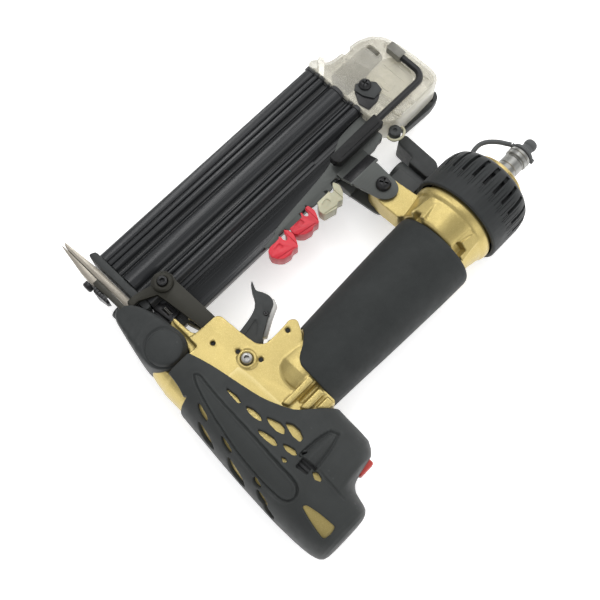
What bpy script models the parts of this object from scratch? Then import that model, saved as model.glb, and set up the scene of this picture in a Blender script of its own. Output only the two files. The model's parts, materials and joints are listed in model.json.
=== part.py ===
"""Pneumatic finish nailer, as an assembly of separate pieces.

The working frame below is in millimetres: x runs from the driver axis back
along the handle, y points out of the nose, z points out of the right side,
and z = 0 is the middle plane.  Every point goes through P(), which moves the
origin to the middle of the bottom of the tool as it lies on its left side.
"""
import math

import bmesh
import bpy
from mathutils import Matrix, Vector

# ---------------------------------------------------------------- dimensions
X_MIN, X_MAX = -27.2, 245.0          # butt side of the cover, tip of the dust cap
Y_MIN, Y_MAX = -234.0, 0.0           # butt, nose tip
Z_REST = -30.0                       # the side that it lies on
CX, CY, CZ = (X_MIN + X_MAX) / 2, (Y_MIN + Y_MAX) / 2, Z_REST
GAP = 0.3                            # between neighbouring pieces

BORE_R = 14.2                        # cylinder sleeve bore
SLEEVE_R = 17.9
BARREL_R = 21.5
HANDLE_Y = -155.5                    # axis of the handle tube
TUBE_R, TUBE_BORE = 19.8, 16.0
CAP_Y = -153.6                       # axis of the end cap and the air plug
CAP_R = 30.0
WEB_Z = 16.5                         # half thickness of the housing cheeks
MAG_X0, MAG_X1 = 9.6, 182.5          # magazine, front and rear
STROKE = 62.0                        # driver travel
TRIGGER_PIVOT = (23.6, -122.1)
LEVER_PIVOT = (52.2, -115.1)
HOOK_AXIS = (180.0, -18.0)           # x, z
LATCH_PIVOT = (206.0, -85.2)
DIAL_AXIS = (-3.5, -11.2)            # x, z

for old in list(bpy.data.objects):
    bpy.data.objects.remove(old, do_unlink=True)


def P(x, y, z):
    return Vector(((x - CX) / 1000.0, (y - CY) / 1000.0, (z - CZ) / 1000.0))


# ----------------------------------------------------------------- materials
def material(name, rgb, rough, metal=0.0):
    m = bpy.data.materials.new(name)
    m.use_nodes = True
    b = m.node_tree.nodes["Principled BSDF"]
    b.inputs["Base Color"].default_value = (*rgb, 1.0)
    b.inputs["Roughness"].default_value = rough
    b.inputs["Metallic"].default_value = metal
    m.diffuse_color = (*rgb, 1.0)
    return m


LOOKS = {
    "gold": ((0.62, 0.48, 0.22), 0.35, 0.7),
    "rubber": ((0.035, 0.036, 0.038), 0.75, 0.0),
    "black": ((0.03, 0.03, 0.032), 0.4, 0.0),
    "anodised": ((0.03, 0.031, 0.034), 0.3, 0.6),
    "steel": ((0.55, 0.54, 0.52), 0.3, 1.0),
    "nose": ((0.60, 0.55, 0.47), 0.4, 0.9),
    "link": ((0.17, 0.15, 0.12), 0.4, 0.8),
    "bracket": ((0.22, 0.23, 0.22), 0.45, 0.6),
    "chrome": ((0.8, 0.8, 0.8), 0.12, 1.0),
    "clear": ((0.8, 0.78, 0.70), 0.15, 0.0),
    "cream": ((0.72, 0.68, 0.52), 0.35, 0.0),
    "red": ((0.65, 0.04, 0.04), 0.4, 0.0),
    "grey_rubber": ((0.12, 0.12, 0.12), 0.7, 0.0),
    "brass": ((0.7, 0.5, 0.2), 0.35, 1.0),
}


def paint(obj, look):
    rgb, rough, metal = LOOKS[look]
    obj.data.materials.append(material("mat_" + obj.name, rgb, rough, metal))


# ------------------------------------------------------------- shape helpers
def close_mesh(bm):
    bmesh.ops.remove_doubles(bm, verts=bm.verts, dist=1e-4)
    bmesh.ops.recalc_face_normals(bm, faces=bm.faces)
    return bm


def place(a, b, c, axis):
    """a, b in the outline's plane, c along the extrusion."""
    if axis == "z":
        return (a, b, c)
    if axis == "x":
        return (c, a, b)
    return (a, c, b)


def prism(points, lo, hi, axis="z", bm=None):
    """An outline extruded from lo to hi."""
    bm = bm or bmesh.new()
    face = bm.faces.new([bm.verts.new(place(p[0], p[1], lo, axis)) for p in points])
    out = bmesh.ops.extrude_face_region(bm, geom=[face])
    step = Vector(place(0, 0, hi - lo, axis))
    bmesh.ops.translate(bm, vec=step, verts=[v for v in out["geom"] if isinstance(v, bmesh.types.BMVert)])
    bmesh.ops.recalc_face_normals(bm, faces=bm.faces)
    return bm


def box(x0, x1, y0, y1, z0, z1):
    return prism([(x0, y0), (x1, y0), (x1, y1), (x0, y1)], z0, z1)


def rounded(points, radius, steps=3):
    """Outline with each corner turned into a small arc."""
    out = []
    n = len(points)
    for i in range(n):
        a, b, c = (Vector(points[(i + k) % n]) for k in (-1, 0, 1))
        u, v = (a - b), (c - b)
        r = min(radius, 0.42 * u.length, 0.42 * v.length)
        p, q = b + u.normalized() * r, b + v.normalized() * r
        for k in range(steps + 1):
            t = k / steps
            out.append(tuple((1 - t) ** 2 * p + 2 * t * (1 - t) * b + t * t * q))
    return out


def turned(profile, axis, centre, sides=32, closed=True):
    """Profile of (radius, position) spun round an axis.  centre is the pair of
    coordinates across the axis, in x, y, z order."""
    bm = bmesh.new()
    if axis == "x":
        to = lambda r, t: (t, centre[0] + r, centre[1])
        cent, ax = (0, centre[0], centre[1]), (1, 0, 0)
    elif axis == "y":
        to = lambda r, t: (centre[0] + r, t, centre[1])
        cent, ax = (centre[0], 0, centre[1]), (0, 1, 0)
    else:
        to = lambda r, t: (centre[0] + r, centre[1], t)
        cent, ax = (centre[0], centre[1], 0), (0, 0, 1)
    vs = [bm.verts.new(to(r, t)) for r, t in profile]
    pairs = list(zip(vs, vs[1:]))
    if closed:
        pairs.append((vs[-1], vs[0]))
    es = [bm.edges.new(p) for p in pairs]
    bmesh.ops.spin(bm, geom=vs + es, cent=cent, axis=ax, angle=2 * math.pi, steps=sides, use_duplicate=False)
    close_mesh(bm)
    bmesh.ops.dissolve_degenerate(bm, dist=1e-4, edges=bm.edges)
    loose = [v for v in bm.verts if not v.link_faces]
    bmesh.ops.delete(bm, geom=loose, context="VERTS")
    bmesh.ops.recalc_face_normals(bm, faces=bm.faces)
    return bm


def rod(axis, centre, r, lo, hi, sides=24):
    return turned([(0, lo), (r, lo), (r, hi), (0, hi)], axis, centre, sides, closed=False)


def ring(axis, centre, r0, r1, lo, hi, sides=24):
    return turned([(r0, lo), (r1, lo), (r1, hi), (r0, hi)], axis, centre, sides)


def loft(loops):
    """Bridge a row of equal loops and cap both ends."""
    bm = bmesh.new()
    rings = []
    for pts in loops:
        vs = [bm.verts.new(p) for p in pts]
        rings.append([bm.edges.new((vs[i], vs[(i + 1) % len(vs)])) for i in range(len(vs))])
    for a, b in zip(rings, rings[1:]):
        bmesh.ops.bridge_loops(bm, edges=a + b)
    for cap in (rings[0], rings[-1]):
        bmesh.ops.edgeloop_fill(bm, edges=cap)
    bmesh.ops.recalc_face_normals(bm, faces=bm.faces)
    return bm


AXES = {}


def axis_empty(name, point):
    e = bpy.data.objects.new("axis_" + name, None)
    e.location = P(*point)
    bpy.context.scene.collection.objects.link(e)
    AXES[name] = e
    return e


def node(name, bm, look, body=None, origin=None, smooth=32):
    """One piece: its mesh in metres, its origin on its joint's axis."""
    if origin is None:
        if body:
            at = AXES[body].location.copy()
        else:
            lo = [min(v.co[i] for v in bm.verts) for i in range(3)]
            hi = [max(v.co[i] for v in bm.verts) for i in range(3)]
            at = P(*[(a + b) / 2 for a, b in zip(lo, hi)])
    else:
        at = P(*origin)
    for v in bm.verts:
        v.co = P(*v.co) - at
    me = bpy.data.meshes.new(name)
    bm.to_mesh(me)
    bm.free()
    me.shade_smooth()
    me.set_sharp_from_angle(angle=math.radians(smooth))
    ob = bpy.data.objects.new(name, me)
    bpy.context.scene.collection.objects.link(ob)
    if body:
        ob.parent = AXES[body]
        ob.location = at - AXES[body].location
    else:
        ob.location = at
    if look:
        paint(ob, look)
    return ob


COUNT = [0]


def helper(bm):
    COUNT[0] += 1
    ob = node("tool_%03d" % COUNT[0], bm, None)
    ob.hide_render = True
    ob.display_type = "WIRE"
    return ob


def boolean(ob, bm, how):
    m = ob.modifiers.new(how.lower(), "BOOLEAN")
    m.operation = how
    m.solver = "EXACT"
    m.object = helper(bm)
    return m


def cut(ob, *bms):
    for bm in bms:
        boolean(ob, bm, "DIFFERENCE")


def join(ob, *bms):
    for bm in bms:
        boolean(ob, bm, "UNION")


def soften(ob, width, segments=2, angle=40):
    m = ob.modifiers.new("edges", "BEVEL")
    m.width = width / 1000.0
    m.segments = segments
    m.limit_method = "ANGLE"
    m.angle_limit = math.radians(angle)
    m.use_clamp_overlap = True
    return m


def wire(name, points, radius, look, body=None, sides=1, resolution=2):
    """A bent wire: a poly curve with a round bevel and filled ends."""
    at = AXES[body].location.copy() if body else P(*points[0])
    cu = bpy.data.curves.new(name, "CURVE")
    cu.dimensions = "3D"
    cu.bevel_depth = radius / 1000.0
    cu.bevel_resolution = resolution
    cu.use_fill_caps = True
    cu.resolution_u = 1
    cu.render_resolution_u = 0
    sp = cu.splines.new("POLY")
    sp.points.add(len(points) - 1)
    for q, p in zip(sp.points, points):
        q.co = (*(P(*p) - at), 1.0)
    ob = bpy.data.objects.new(name, cu)
    bpy.context.scene.collection.objects.link(ob)
    if body:
        ob.parent = AXES[body]
        ob.location = (0, 0, 0)
    else:
        ob.location = at
    paint(ob, look)
    return ob


def smooth_path(points, per=6):
    """Catmull-Rom points through a route."""
    pts = [Vector(p) for p in points]
    pts = [pts[0] * 2 - pts[1]] + pts + [pts[-1] * 2 - pts[-2]]
    out = []
    for i in range(1, len(pts) - 2):
        a, b, c, d = pts[i - 1:i + 3]
        for k in range(per):
            t = k / per
            out.append(0.5 * ((2 * b) + (c - a) * t + (2 * a - 5 * b + 4 * c - d) * t * t + (3 * b - a - 3 * c + d) * t ** 3))
    out.append(pts[-2])
    return [tuple(p) for p in out]


# --------------------------------------------------------------- joint axes
axis_empty("contact", (0, -55, 12.7))
axis_empty("dial", (DIAL_AXIS[0], -50.6, DIAL_AXIS[1]))
axis_empty("trigger", (*TRIGGER_PIVOT, 0))
axis_empty("lever", (*LEVER_PIVOT, 0))
axis_empty("stem", (42.8, -135, 0))
axis_empty("piston", (0, -200, 0))
axis_empty("head", (0, -208, 0))
axis_empty("pusher", (24, -45, 1.4))
axis_empty("magazine", (96, -45, 0))
axis_empty("latch", (*LATCH_PIVOT, -16))
axis_empty("key", (186, -78.5, 12.7))
axis_empty("tip_a", (87.5, -92, 0))
axis_empty("tip_b", (105, -92, 0))
axis_empty("tip_c", (127, -92, 0))
axis_empty("hook", (HOOK_AXIS[0], -110, HOOK_AXIS[1]))
axis_empty("plug", (220, CAP_Y, 0))
axis_empty("dust", (236, CAP_Y, 0))
axis_empty("button", (27, -212, 0))

# ------------------------------------------------------------------ housing
WEB = [(-10, -104.3), (9.8, -104.3), (10.3, -84), (11.4, -82.4), (12.6, -83.6), (12.9, -95),
       (15.4, -98.4), (29.6, -98.4), (31.6, -101), (32.6, -116), (33.9, -126.6), (38, -130.4),
       (47, -130.6), (57.6, -129.8), (60, -132.6), (55.5, -141), (43, -150), (41, -153),
       (41.5, -180.5), (-10, -180.5)]
housing = node("housing", prism(WEB, -WEB_Z, WEB_Z), "gold")
soften(housing, 1.6, 2)
join(housing,
     turned([(0, -104.3), (19.6, -104.3), (20.4, -107), (20.5, -122), (BARREL_R, -136), (BARREL_R, -216), (0, -216)],
            "y", (0, 0), 40, closed=False),
     rod("x", (HANDLE_Y, 0), TUBE_R, 4, 166, 40),
     prism([(-18.4, -94.6), (-17.3, -94.9), (-15.4, -99.8), (-13.4, -105.5), (-18.6, -105.5)], -8.5, 8.5),
     turned([(0, 150.4), (23.6, 150.4), (24.6, 157), (26.2, 165), (27.0, 167), (27.0, 172.6), (24.4, 172.8), (24.4, 180), (0, 180)],
            "x", (CAP_Y, 0), 40, closed=False),
     prism(rounded([(150.6, -142), (150.6, -130.4), (147.9, -129.0), (148.2, -117.5), (149.5, -105), (156, -101.2),
                    (162, -104.5), (165.2, -129), (169, -142)], 3.5, 2), -8, 8),
     rod("z", (23.9, -128.9), 5.5, 12, 18.0, 24),
     rod("z", (23.9, -128.9), 5.5, -18.0, -12, 24))
cut(housing,
    rod("y", (0, 0), 18.3, -222, -112, 40),
    rod("y", (0, 0), 2.6, -114, -100, 12),
    rod("x", (HANDLE_Y, 0), TUBE_BORE, 26, 190, 36),
    prism([(17.2, -106.5), (46, -106.5), (46, -129.4), (36, -129.4), (33, -127.9), (17.2, -127.9)], -5.6, 5.6),
    box(15.4, 30.9, -116.5, -90, 11.1, 14.4),
    rod("y", (42.8, 0), 5.8, -160, -120, 20),
    rod("z", TRIGGER_PIVOT, 1.55, -30, 30, 12),
    rod("z", (17.1, -109.0), 1.55, -30, 30, 12),
    rod("z", (29.3, -134.4), 1.55, -30, 30, 12),
    rod("z", (51.6, -133.2), 1.55, -30, 30, 12),
    rod("z", (23.9, -128.9), 3.5, 15.6, 30, 20),
    rod("z", (23.9, -128.9), 2.2, 11.0, 30, 16),
    rod("z", (156.2, -109.7), 2.5, -30, 30, 16))

# pins and the side screw
node("trigger_pin", rod("z", TRIGGER_PIVOT, 1.25, -15.6, 15.6, 12), "steel")
node("arm_guide_pin", rod("z", (17.1, -109.0), 1.25, -15.6, 15.6, 12), "steel")
node("housing_pin", rod("z", (29.3, -134.4), 1.25, -15.6, 15.6, 12), "steel")
node("valve_pin", rod("z", (51.6, -133.2), 1.25, -15.6, 15.6, 12), "steel")
side_screw = node("side_screw", turned([(0, 11.3), (1.9, 11.3), (1.9, 15.9), (3.2, 15.9), (3.2, 19.4), (2.8, 19.8), (0, 19.8)],
                                       "z", (23.9, -128.9), 20, closed=False), "chrome")
cut(side_screw, prism([(23.9 + 1.6 * math.cos(math.pi * k / 3), -128.9 + 1.6 * math.sin(math.pi * k / 3)) for k in range(6)], 17.8, 22))

# ------------------------------------------------ cylinder, piston, driver
node("cylinder_sleeve", ring("y", (0, 0), BORE_R, SLEEVE_R, -205, -112.4, 40), "steel")
node("bumper", turned([(2.4, -112.5), (13.6, -112.5), (13.8, -116), (12.2, -120), (8, -124), (2.4, -124)], "y", (0, 0), 28), "rubber")
node("piston", turned([(0, -204), (13.9, -204), (13.9, -201.3), (12.5, -201.3), (12.5, -198.3), (13.9, -198.3),
                       (13.9, -195), (4, -195), (3.2, -191), (0, -191)], "y", (0, 0), 32, closed=False), "steel", "piston")
node("piston_ring", turned([(12.8, -201.0), (14.0, -200.6), (14.05, -199.8), (14.0, -199.0), (12.8, -198.6)], "y", (0, 0), 32), "rubber", "piston")
node("driver_blade", box(-0.7, 0.7, -190.7, -62.0, -0.6, 0.6), "steel", "piston")
node("head_valve", turned([(0, -205.6), (17.6, -205.6), (17.6, -211), (7, -211), (7, -219), (0, -219)], "y", (0, 0), 32, closed=False), "black", "head")
TURNS, PER = 4, 12
coil = [(10.2 * math.cos(2 * math.pi * k / PER), -212.2 - 9.0 * k / (TURNS * PER), 10.2 * math.sin(2 * math.pi * k / PER))
        for k in range(TURNS * PER + 1)]
wire("head_valve_spring", coil, 0.7, "steel", resolution=1)
cyl_cap = node("cylinder_cap", turned([(0, -226), (20.4, -226), (21.3, -224.6), (21.3, -216.3), (0, -216.3)], "y", (0, 0), 40, closed=False), "gold")
cut(cyl_cap, rod("y", (0, 0), 15.6, -222.6, -210, 28))

# -------------------------------------------------------------- body cover
COVER = [  # y, left, right, top, bottom
    (-103.5, -20.4, 40, 22.6, -24.5), (-112, -20.9, 42, 23.6, -26.5), (-124, -22.0, 45, 25.0, -28.6),
    (-140, -23.4, 47, 26.2, -31.2), (-160, -25.1, 49, 27.0, -32.0), (-180, -26.4, 49, 27.4, -32.4),
    (-200, -27.2, 47, 27.4, -32.4), (-214, -27.0, 44, 27.0, -32.0), (-225, -26.0, 40, 25.6, -31.0),
    (-231, -24.6, 36, 23.6, -28.0), (-234, -21.6, 32, 20.6, -24.0)]
N = 36


def cover_loop(y, left, right, top, bottom):
    xc, out = -2.0, []
    for k in range(N):
        a = 2 * math.pi * k / N
        c, s = math.cos(a), math.sin(a)
        ax = (right - xc) if c > 0 else (xc - left)
        az = top if s > 0 else -bottom
        e = 2 / 2.5
        x = xc + ax * math.copysign(abs(c) ** e, c)
        z = az * math.copysign(abs(s) ** e, s)
        out.append((x, y, max(z, Z_REST)))
    return out


body_cover = node("body_cover", loft([cover_loop(*s) for s in COVER]), "rubber", smooth=40)
COVER_OUTLINE = [(-11.8, -104.8), (2.4, -104.8), (4.3, -108), (7.6, -120.6), (10.5, -137.2), (13, -150), (16, -158.6),
                 (19.7, -166.4), (23, -170.6), (27.6, -173.9), (32.2, -177.5), (38, -181.6), (43.6, -184.6), (43.6, -198),
                 (41.5, -206), (37.4, -212), (32, -216.2), (17, -216.2), (14.2, -218.6), (13.2, -222), (14.6, -226.6),
                 (14.2, -230.6), (11, -233.6), (6, -237), (-40, -237), (-40, -121.7), (-16.6, -121.7), (-14.3, -118.6),
                 (-12.4, -112)]
boolean(body_cover, prism(COVER_OUTLINE, -60, 60), "INTERSECT")
join(body_cover, turned([(0, 5.5), (4.6, 5.5), (5.0, 12), (3.6, 20), (1.2, 28), (0, 28)], "x", (-192.6, 21.8), 16, closed=False))
cut(body_cover,
    turned([(0, -229.3), (21.8, -229.3), (21.8, -136), (20.8, -122.1), (20.7, -100), (0, -100)], "y", (0, 0), 40, closed=False),
    box(-10.3, 60, -180.9, -100, -16.9, 16.9),
    rod("x", (HANDLE_Y, 0), 20.15, 2, 70, 32),
    box(-8, 37, -210.5, -180, -14, 14),
    box(20.6, 33.4, -225, -205, -5.4, 5.4),
    rod("z", (23.9, -128.9), 6.2, -40, -10, 16))
LEAVES = [  # openings in the right side
    [(3.2, -131.9), (5.2, -139), (4.6, -145.5), (2.6, -141)],
    [(3.6, -148.5), (7.0, -155), (6.2, -160.4), (3.0, -154)],
    [(7.0, -159.5), (11.2, -164.4), (10.6, -173.5), (6.2, -166.7)],
    [(12.7, -170.2), (16.4, -174), (14.6, -180.1), (10.2, -181.2), (9.2, -175.9)],
    [(-0.6, -162.1), (2.4, -169), (1.6, -176.4), (-1.6, -170.7)],
    [(3.0, -176.6), (6.2, -180.8), (4.2, -187.1), (1.6, -181.5)],
    [(9.8, -196), (13.4, -198), (12.6, -204), (8.8, -202)],
    [(-11.9, -206.9), (-8.0, -222.8), (-15.4, -222.2)],
]
for pts in LEAVES:
    cut(body_cover, prism(pts, 12, 40))

# --------------------------------------------------------------- red button
button = node("air_button", box(22.6, 33, -217.4, -206, -5, 5), "red", "button")
soften(button, 1.0, 2)

# ------------------------------------------------------------ nose assembly
nose_body = node("nose_body", box(-6, 3.4, -104, -61, -5.9, 5.9), "black")
cut(nose_body, box(-0.95, 0.95, -120, -50, -0.85, 0.85))
guide = node("guide_plate", prism([(0.2, 0), (-0.9, -2.2), (-0.9, -60.7), (3.6, -60.7), (3.6, -28), (1.0, 0)], -4.5, 4.5), "nose")
cut(guide, box(-2, 0.95, -70, 5, -0.85, 0.85), box(0.5, 5, -58, -24, -0.6, 0.6))
node("contact_nose", prism([(-1.35, 0), (-1.35, -31.5), (-5.5, -31.5), (-5.3, -21), (-2.0, 0)], -4.0, 4.0), "nose", "contact")
arm = node("contact_arm", prism([(29.4, -106.5), (20.8, -106.5), (16.4, -71), (15.4, -65.4), (5.4, -60.4), (0.6, -60.2), (0.6, -56.2), (5.0, -56),
                                 (12, -57.4), (16.4, -58.6), (19.2, -56.2), (22.5, -55.2), (26, -56), (28.6, -58.6),
                                 (29.6, -62.4), (28.6, -67)], 11.5, 14.0), "link", "contact")
join(arm, box(0.2, 4.2, -60.0, -56.4, 6.6, 12.6), box(-4.8, 3.0, -60.2, -56.2, 6.3, 8.3),
     box(-4.8, -1.4, -58, -33, 6.3, 8.3), box(-5.2, -1.4, -40, -31.8, -4, 8.3),
     turned([(0, 13), (6.2, 13), (6.2, 15.6), (5.2, 16.4), (0, 16.4)], "z", (22.5, -62.3), 24, closed=False))
cut(arm, rod("z", (22.5, -62.3), 3.3, 12.6, 20, 20))
link_bolt = node("link_bolt", rod("z", (22.5, -62.3), 2.9, 13.0, 18.0, 20), "steel", "contact")
cut(link_bolt, prism([(22.5 + 1.5 * math.cos(math.pi * k / 3), -62.3 + 1.5 * math.sin(math.pi * k / 3)) for k in range(6)], 16.4, 20))
node("nose_bolt", turned([(0, -9.4), (2.6, -9.4), (3.4, -8.8), (3.4, -5.8), (0, -5.8)], "x", (-28.2, 0), 20, closed=False), "black", "contact")
node("nose_catch", prism([(-5.6, -32.2), (-7.6, -33.4), (-8.4, -38), (-7.4, -44.5), (-5.6, -45.8)], -3.0, 3.0), "steel", "contact")
dial = node("adjuster_dial", rod("y", DIAL_AXIS, 5.5, -54.2, -47.2, 24), "black", "dial")
dial_grips = [rod("y", (DIAL_AXIS[0] + 5.9 * math.cos(2 * math.pi * k / 12), DIAL_AXIS[1] + 5.9 * math.sin(2 * math.pi * k / 12)), 0.75, -60, -40, 6)
              for k in range(12)]
cut(dial, *dial_grips)
NOSE_COVER = [(-9, -54.5), (-11.6, -58.2), (-14.4, -71.5), (-16.5, -82.1), (-17.2, -88.8), (-15.2, -94.6), (-12.6, -100),
              (-9, -103.2), (-3, -104), (4, -102.8), (8, -99), (9.4, -93), (8.8, -83.5), (7.4, -72.3), (4.2, -62.4), (1.5, -57), (-4, -53.5)]
nose_cover = node("nose_cover", prism(NOSE_COVER, -20.5, 20.5), "rubber", smooth=50)
soften(nose_cover, 4.5, 3, 60)
join(nose_cover, turned([(0, 12), (10.4, 12), (10.4, 19.6), (8.6, 21.6), (4.6, 22.6), (0, 22.9)], "z", (-3.2, -93.4), 28, closed=False))
cut(nose_cover, box(-6.3, 30, -120, -40, -6.3, 6.3), box(-5.6, 16, -72, -40, 5.8, 14.7), box(4.0, 30, -68.5, -40, -10, 10),
    rod("y", DIAL_AXIS, 6.8, -60, -40, 20), box(-12.5, 4.6, -57.1, -39, -6.7, 6.8))

# ------------------------------------------------------------ trigger group
trigger = node("trigger", prism([(60, -96), (57.4, -96.8), (53.7, -103.5), (50, -108.2), (38.6, -111.3), (30, -112.6),
                                 (21.8, -116.6), (19.0, -121.2), (20.6, -125.6), (25, -127.2), (34, -124.5), (38.7, -125),
                                 (42.4, -122.3), (54, -116.2), (59.8, -113.6), (61.1, -108.4), (58, -101.5)], -5.2, 5.2), "black", "trigger")
soften(trigger, 0.8, 1)
cut(trigger, prism([(37.5, -121.5), (41, -118.5), (46, -113.6), (56, -108.8), (66, -104.5), (70, -135), (37.5, -135)], -2.9, 2.9),
    rod("z", TRIGGER_PIVOT, 1.55, -20, 20, 12), rod("z", LEVER_PIVOT, 1.5, -20, 20, 12))
lever = node("trigger_lever", prism([(62.3, -111.6), (60.6, -115.6), (52.6, -119.4), (43.4, -124.6), (41.2, -123.2), (43.4, -120.6),
                                     (50, -114.6), (54.6, -112.2), (60.6, -110.0)], -2.6, 2.6), "steel", "lever")
cut(lever, rod("z", LEVER_PIVOT, 1.5, -20, 20, 12))
node("lever_pin", rod("z", LEVER_PIVOT, 1.2, -5.9, 5.9, 12), "steel", "trigger")
node("valve_stem", turned([(0, -152), (1.5, -152), (1.5, -127.2), (1.1, -126.4), (0, -126.4)], "y", (42.8, 0), 12, closed=False), "steel", "stem")
node("valve_body", turned([(1.9, -149), (5.5, -149), (5.5, -131.2), (1.9, -131.2)], "y", (42.8, 0), 20), "black")

# ---------------------------------------------------------------- magazine
MAG = [(-21, -6), (-21, 6), (-23, 7.6), (-26, 7.6), (-27, 9.2), (-29.2, 9.2), (-30.2, 6.8), (-34, 6.8), (-34.8, 8.4),
       (-36.2, 8.4), (-37, 7.0), (-39, 9.6), (-42.5, 10.4), (-45, 9.0), (-47, 6.4), (-52, 6.4), (-53, 7.8), (-55.4, 7.8),
       (-56, 9.0), (-58, 9.0), (-59, 6.8), (-63, 6.8), (-66.5, 6.2)]
mag_outline = MAG + [(y, -z) for y, z in reversed(MAG) if z > -6]
magazine = node("magazine_body", prism(mag_outline, MAG_X0, MAG_X1, "x"), "anodised", "magazine", smooth=25)
cut(magazine, box(0, 200, -80, -24.5, -3.1, 3.1))
base = node("magazine_base", box(14.0, 182.0, -86, -62, -2.8, 2.8), "anodised")
join(base, box(MAG_X0, 182.0, -62.5, -28, -2.8, -0.1))
front = node("magazine_front_plate", prism(rounded([(4.6, -17), (9.2, -18.6), (9.2, -66), (4.6, -66)], 1.6, 2), -9, 9), "black")
cut(front, box(0, 12, -60, -24, -0.9, 0.9))
node("pusher", prism([(14, -33), (14, -60), (34, -60), (34, -33), (30, -31), (18, -31)], 0.3, 2.6), "steel", "pusher")
holder = node("tip_holder", prism([(76, -67.4), (182, -67.4), (182, -86), (172, -89.2), (150, -89.2), (138, -87.6), (76, -87.6)], 3.1, 5.0), "bracket")
cut(holder, box(89, 95, -95, -84, 0, 9), box(111, 117, -95, -84, 0, 9), box(133, 138.5, -95, -84, 0, 9))
bracket = node("rear_bracket", prism(rounded([(142.5, -84), (166.5, -84), (165.4, -98), (163, -112), (160, -118), (156, -119.8), (151, -119.6),
                                              (146.8, -115.5), (145.4, -104.7)], 2.5, 2), 8.3, 10.6), "bracket")
join(bracket, box(143.2, 166, -96, -84.2, 5.3, 9))
cut(bracket, rod("z", (156.2, -109.7), 2.5, 0, 30, 16))
far = node("rear_bracket_far", prism(rounded([(142.5, -84), (166.5, -84), (165.4, -98), (163, -112), (160, -118), (156, -119.8), (151, -119.6),
                                              (146.8, -115.5), (145.4, -104.7)], 2.5, 2), -10.6, -8.3), "bracket")
join(far, box(143.2, 166, -96, -76, -9, -3.1))
cut(far, rod("z", (156.2, -109.7), 2.5, -30, 0, 16))
screw = node("bracket_screw", turned([(0, -10.6), (2.2, -10.6), (2.2, 10.9), (4.5, 10.9), (4.5, 12.4), (3.2, 13.6), (0, 13.9)],
                                     "z", (156.2, -109.7), 24, closed=False), "black")
cut(screw, box(153.6, 158.8, -110.2, -109.2, 12.6, 16), box(155.7, 156.7, -112.3, -107.1, 12.6, 16))
node("bracket_nut", prism([(156.2 + 4.6 * math.cos(math.pi * k / 3), -109.7 + 4.6 * math.sin(math.pi * k / 3)) for k in range(6)], -14.6, -10.9), "black")

# spare contact tips, clipped over the edge of the holder
TIP = [(-6.6, 5.0), (-4.2, 6.0), (5.0, 6.0), (6.2, 2.4), (7.6, -2.0), (4.4, -6.4), (-3.4, -4.2), (-6.8, 0.6)]
for name, body, x, look in (("spare_tip_1", "tip_a", 87.5, "red"), ("spare_tip_2", "tip_b", 105.0, "red"), ("spare_tip_3", "tip_c", 127.0, "cream")):
    t = node(name, prism([(x + a, -94.2 + b) for a, b in TIP], -5, 5), look, body)
    soften(t, 0.6, 1)

# clear rear cover of the magazine and what it holds
CLEAR = [(182.8, -24), (186.2, -19.8), (190, -20.4), (194, -28.6), (207, -29), (216, -30), (224, -33), (230.5, -38.5),
         (233.5, -46), (235, -59.8), (235.4, -76), (234.5, -82), (231, -86.2), (212, -86.8), (196.7, -86.8), (189, -85.4),
         (185.6, -80), (182.8, -72)]
clear = node("rear_cover", prism(CLEAR, -12, 10.2), "clear", "magazine")
soften(clear, 1.5, 2)
cut(clear, prism([(178, -26), (192, -31), (215.5, -32.2), (223, -35.2), (228.8, -40), (231.4, -47), (232.8, -60), (233.2, -76), (232.2, -81.8),
                  (230, -84.2), (196.7, -84.6), (190, -83.2), (178, -70)], -9.8, 8.2))
node("cover_core", prism(rounded([(199, -50), (215, -50.5), (224, -46.5), (228, -54), (227, -70), (224, -75.5), (203, -76.5), (202, -66), (199, -60)], 2, 2),
                         -6.5, 6.5), "cream", "magazine")
node("roll_spring", ring("z", (192.6, -42), 2.4, 5.4, -2.4, 2.4, 20), "steel", "magazine")
node("cover_clip", prism([(190.6, -52.6), (203, -52.7), (201.4, -65.2), (189.2, -66.2)], 10.5, 12.0), "black", "magazine")
cscrew = node("cover_screw", turned([(0, 12.3), (3.8, 12.3), (3.8, 13.4), (2.6, 14.4), (0, 14.7)], "z", (196.4, -56.8), 20, closed=False), "black", "magazine")
cut(cscrew, box(194.2, 198.6, -57.25, -56.35, 13.4, 16), box(195.95, 196.85, -59, -54.6, 13.4, 16))
wire("cover_loop", smooth_path([(189.6, -87.6, 2), (189.2, -92, 2), (191.6, -95.4, 2), (196.4, -95.2, 2), (198.4, -91.6, 2), (198.0, -87.6, 2)], 4),
     1.1, "cream", "magazine")
latch = node("latch_lever", prism(rounded([(202, -82), (203, -88.2), (226, -89.2), (234, -87.6), (237, -82.8)], 1.6, 2), -20, -12.5), "grey_rubber", "latch")
cut(latch, rod("z", LATCH_PIVOT, 1.5, -30, 0, 12))
node("latch_pin", rod("z", LATCH_PIVOT, 1.2, -21, -12.4, 12), "steel", "magazine")

# hex key, stored along the magazine
AF = 4.0
hexes = []
route = [Vector(p) for p in [(145, -78.5, 12.7), (160, -78.5, 12.7), (221, -78.5, 12.7), (223.2, -78.0, 12.7), (225.1, -76.6, 12.7), (226.1, -74.4, 12.7),
                             (226.3, -72, 12.7), (226.3, -50, 12.7)]]
for i, p in enumerate(route):
    d = (route[min(i + 1, len(route) - 1)] - route[max(i - 1, 0)]).normalized()
    side = Vector((-d.y, d.x, 0))
    up = Vector((0, 0, 1))
    rr = AF / math.sqrt(3)
    hexes.append([tuple(p + side * rr * math.cos(math.pi * k / 3) + up * rr * math.sin(math.pi * k / 3)) for k in range(6)])
node("hex_key", loft(hexes), "bracket", "key", smooth=25)

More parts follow.
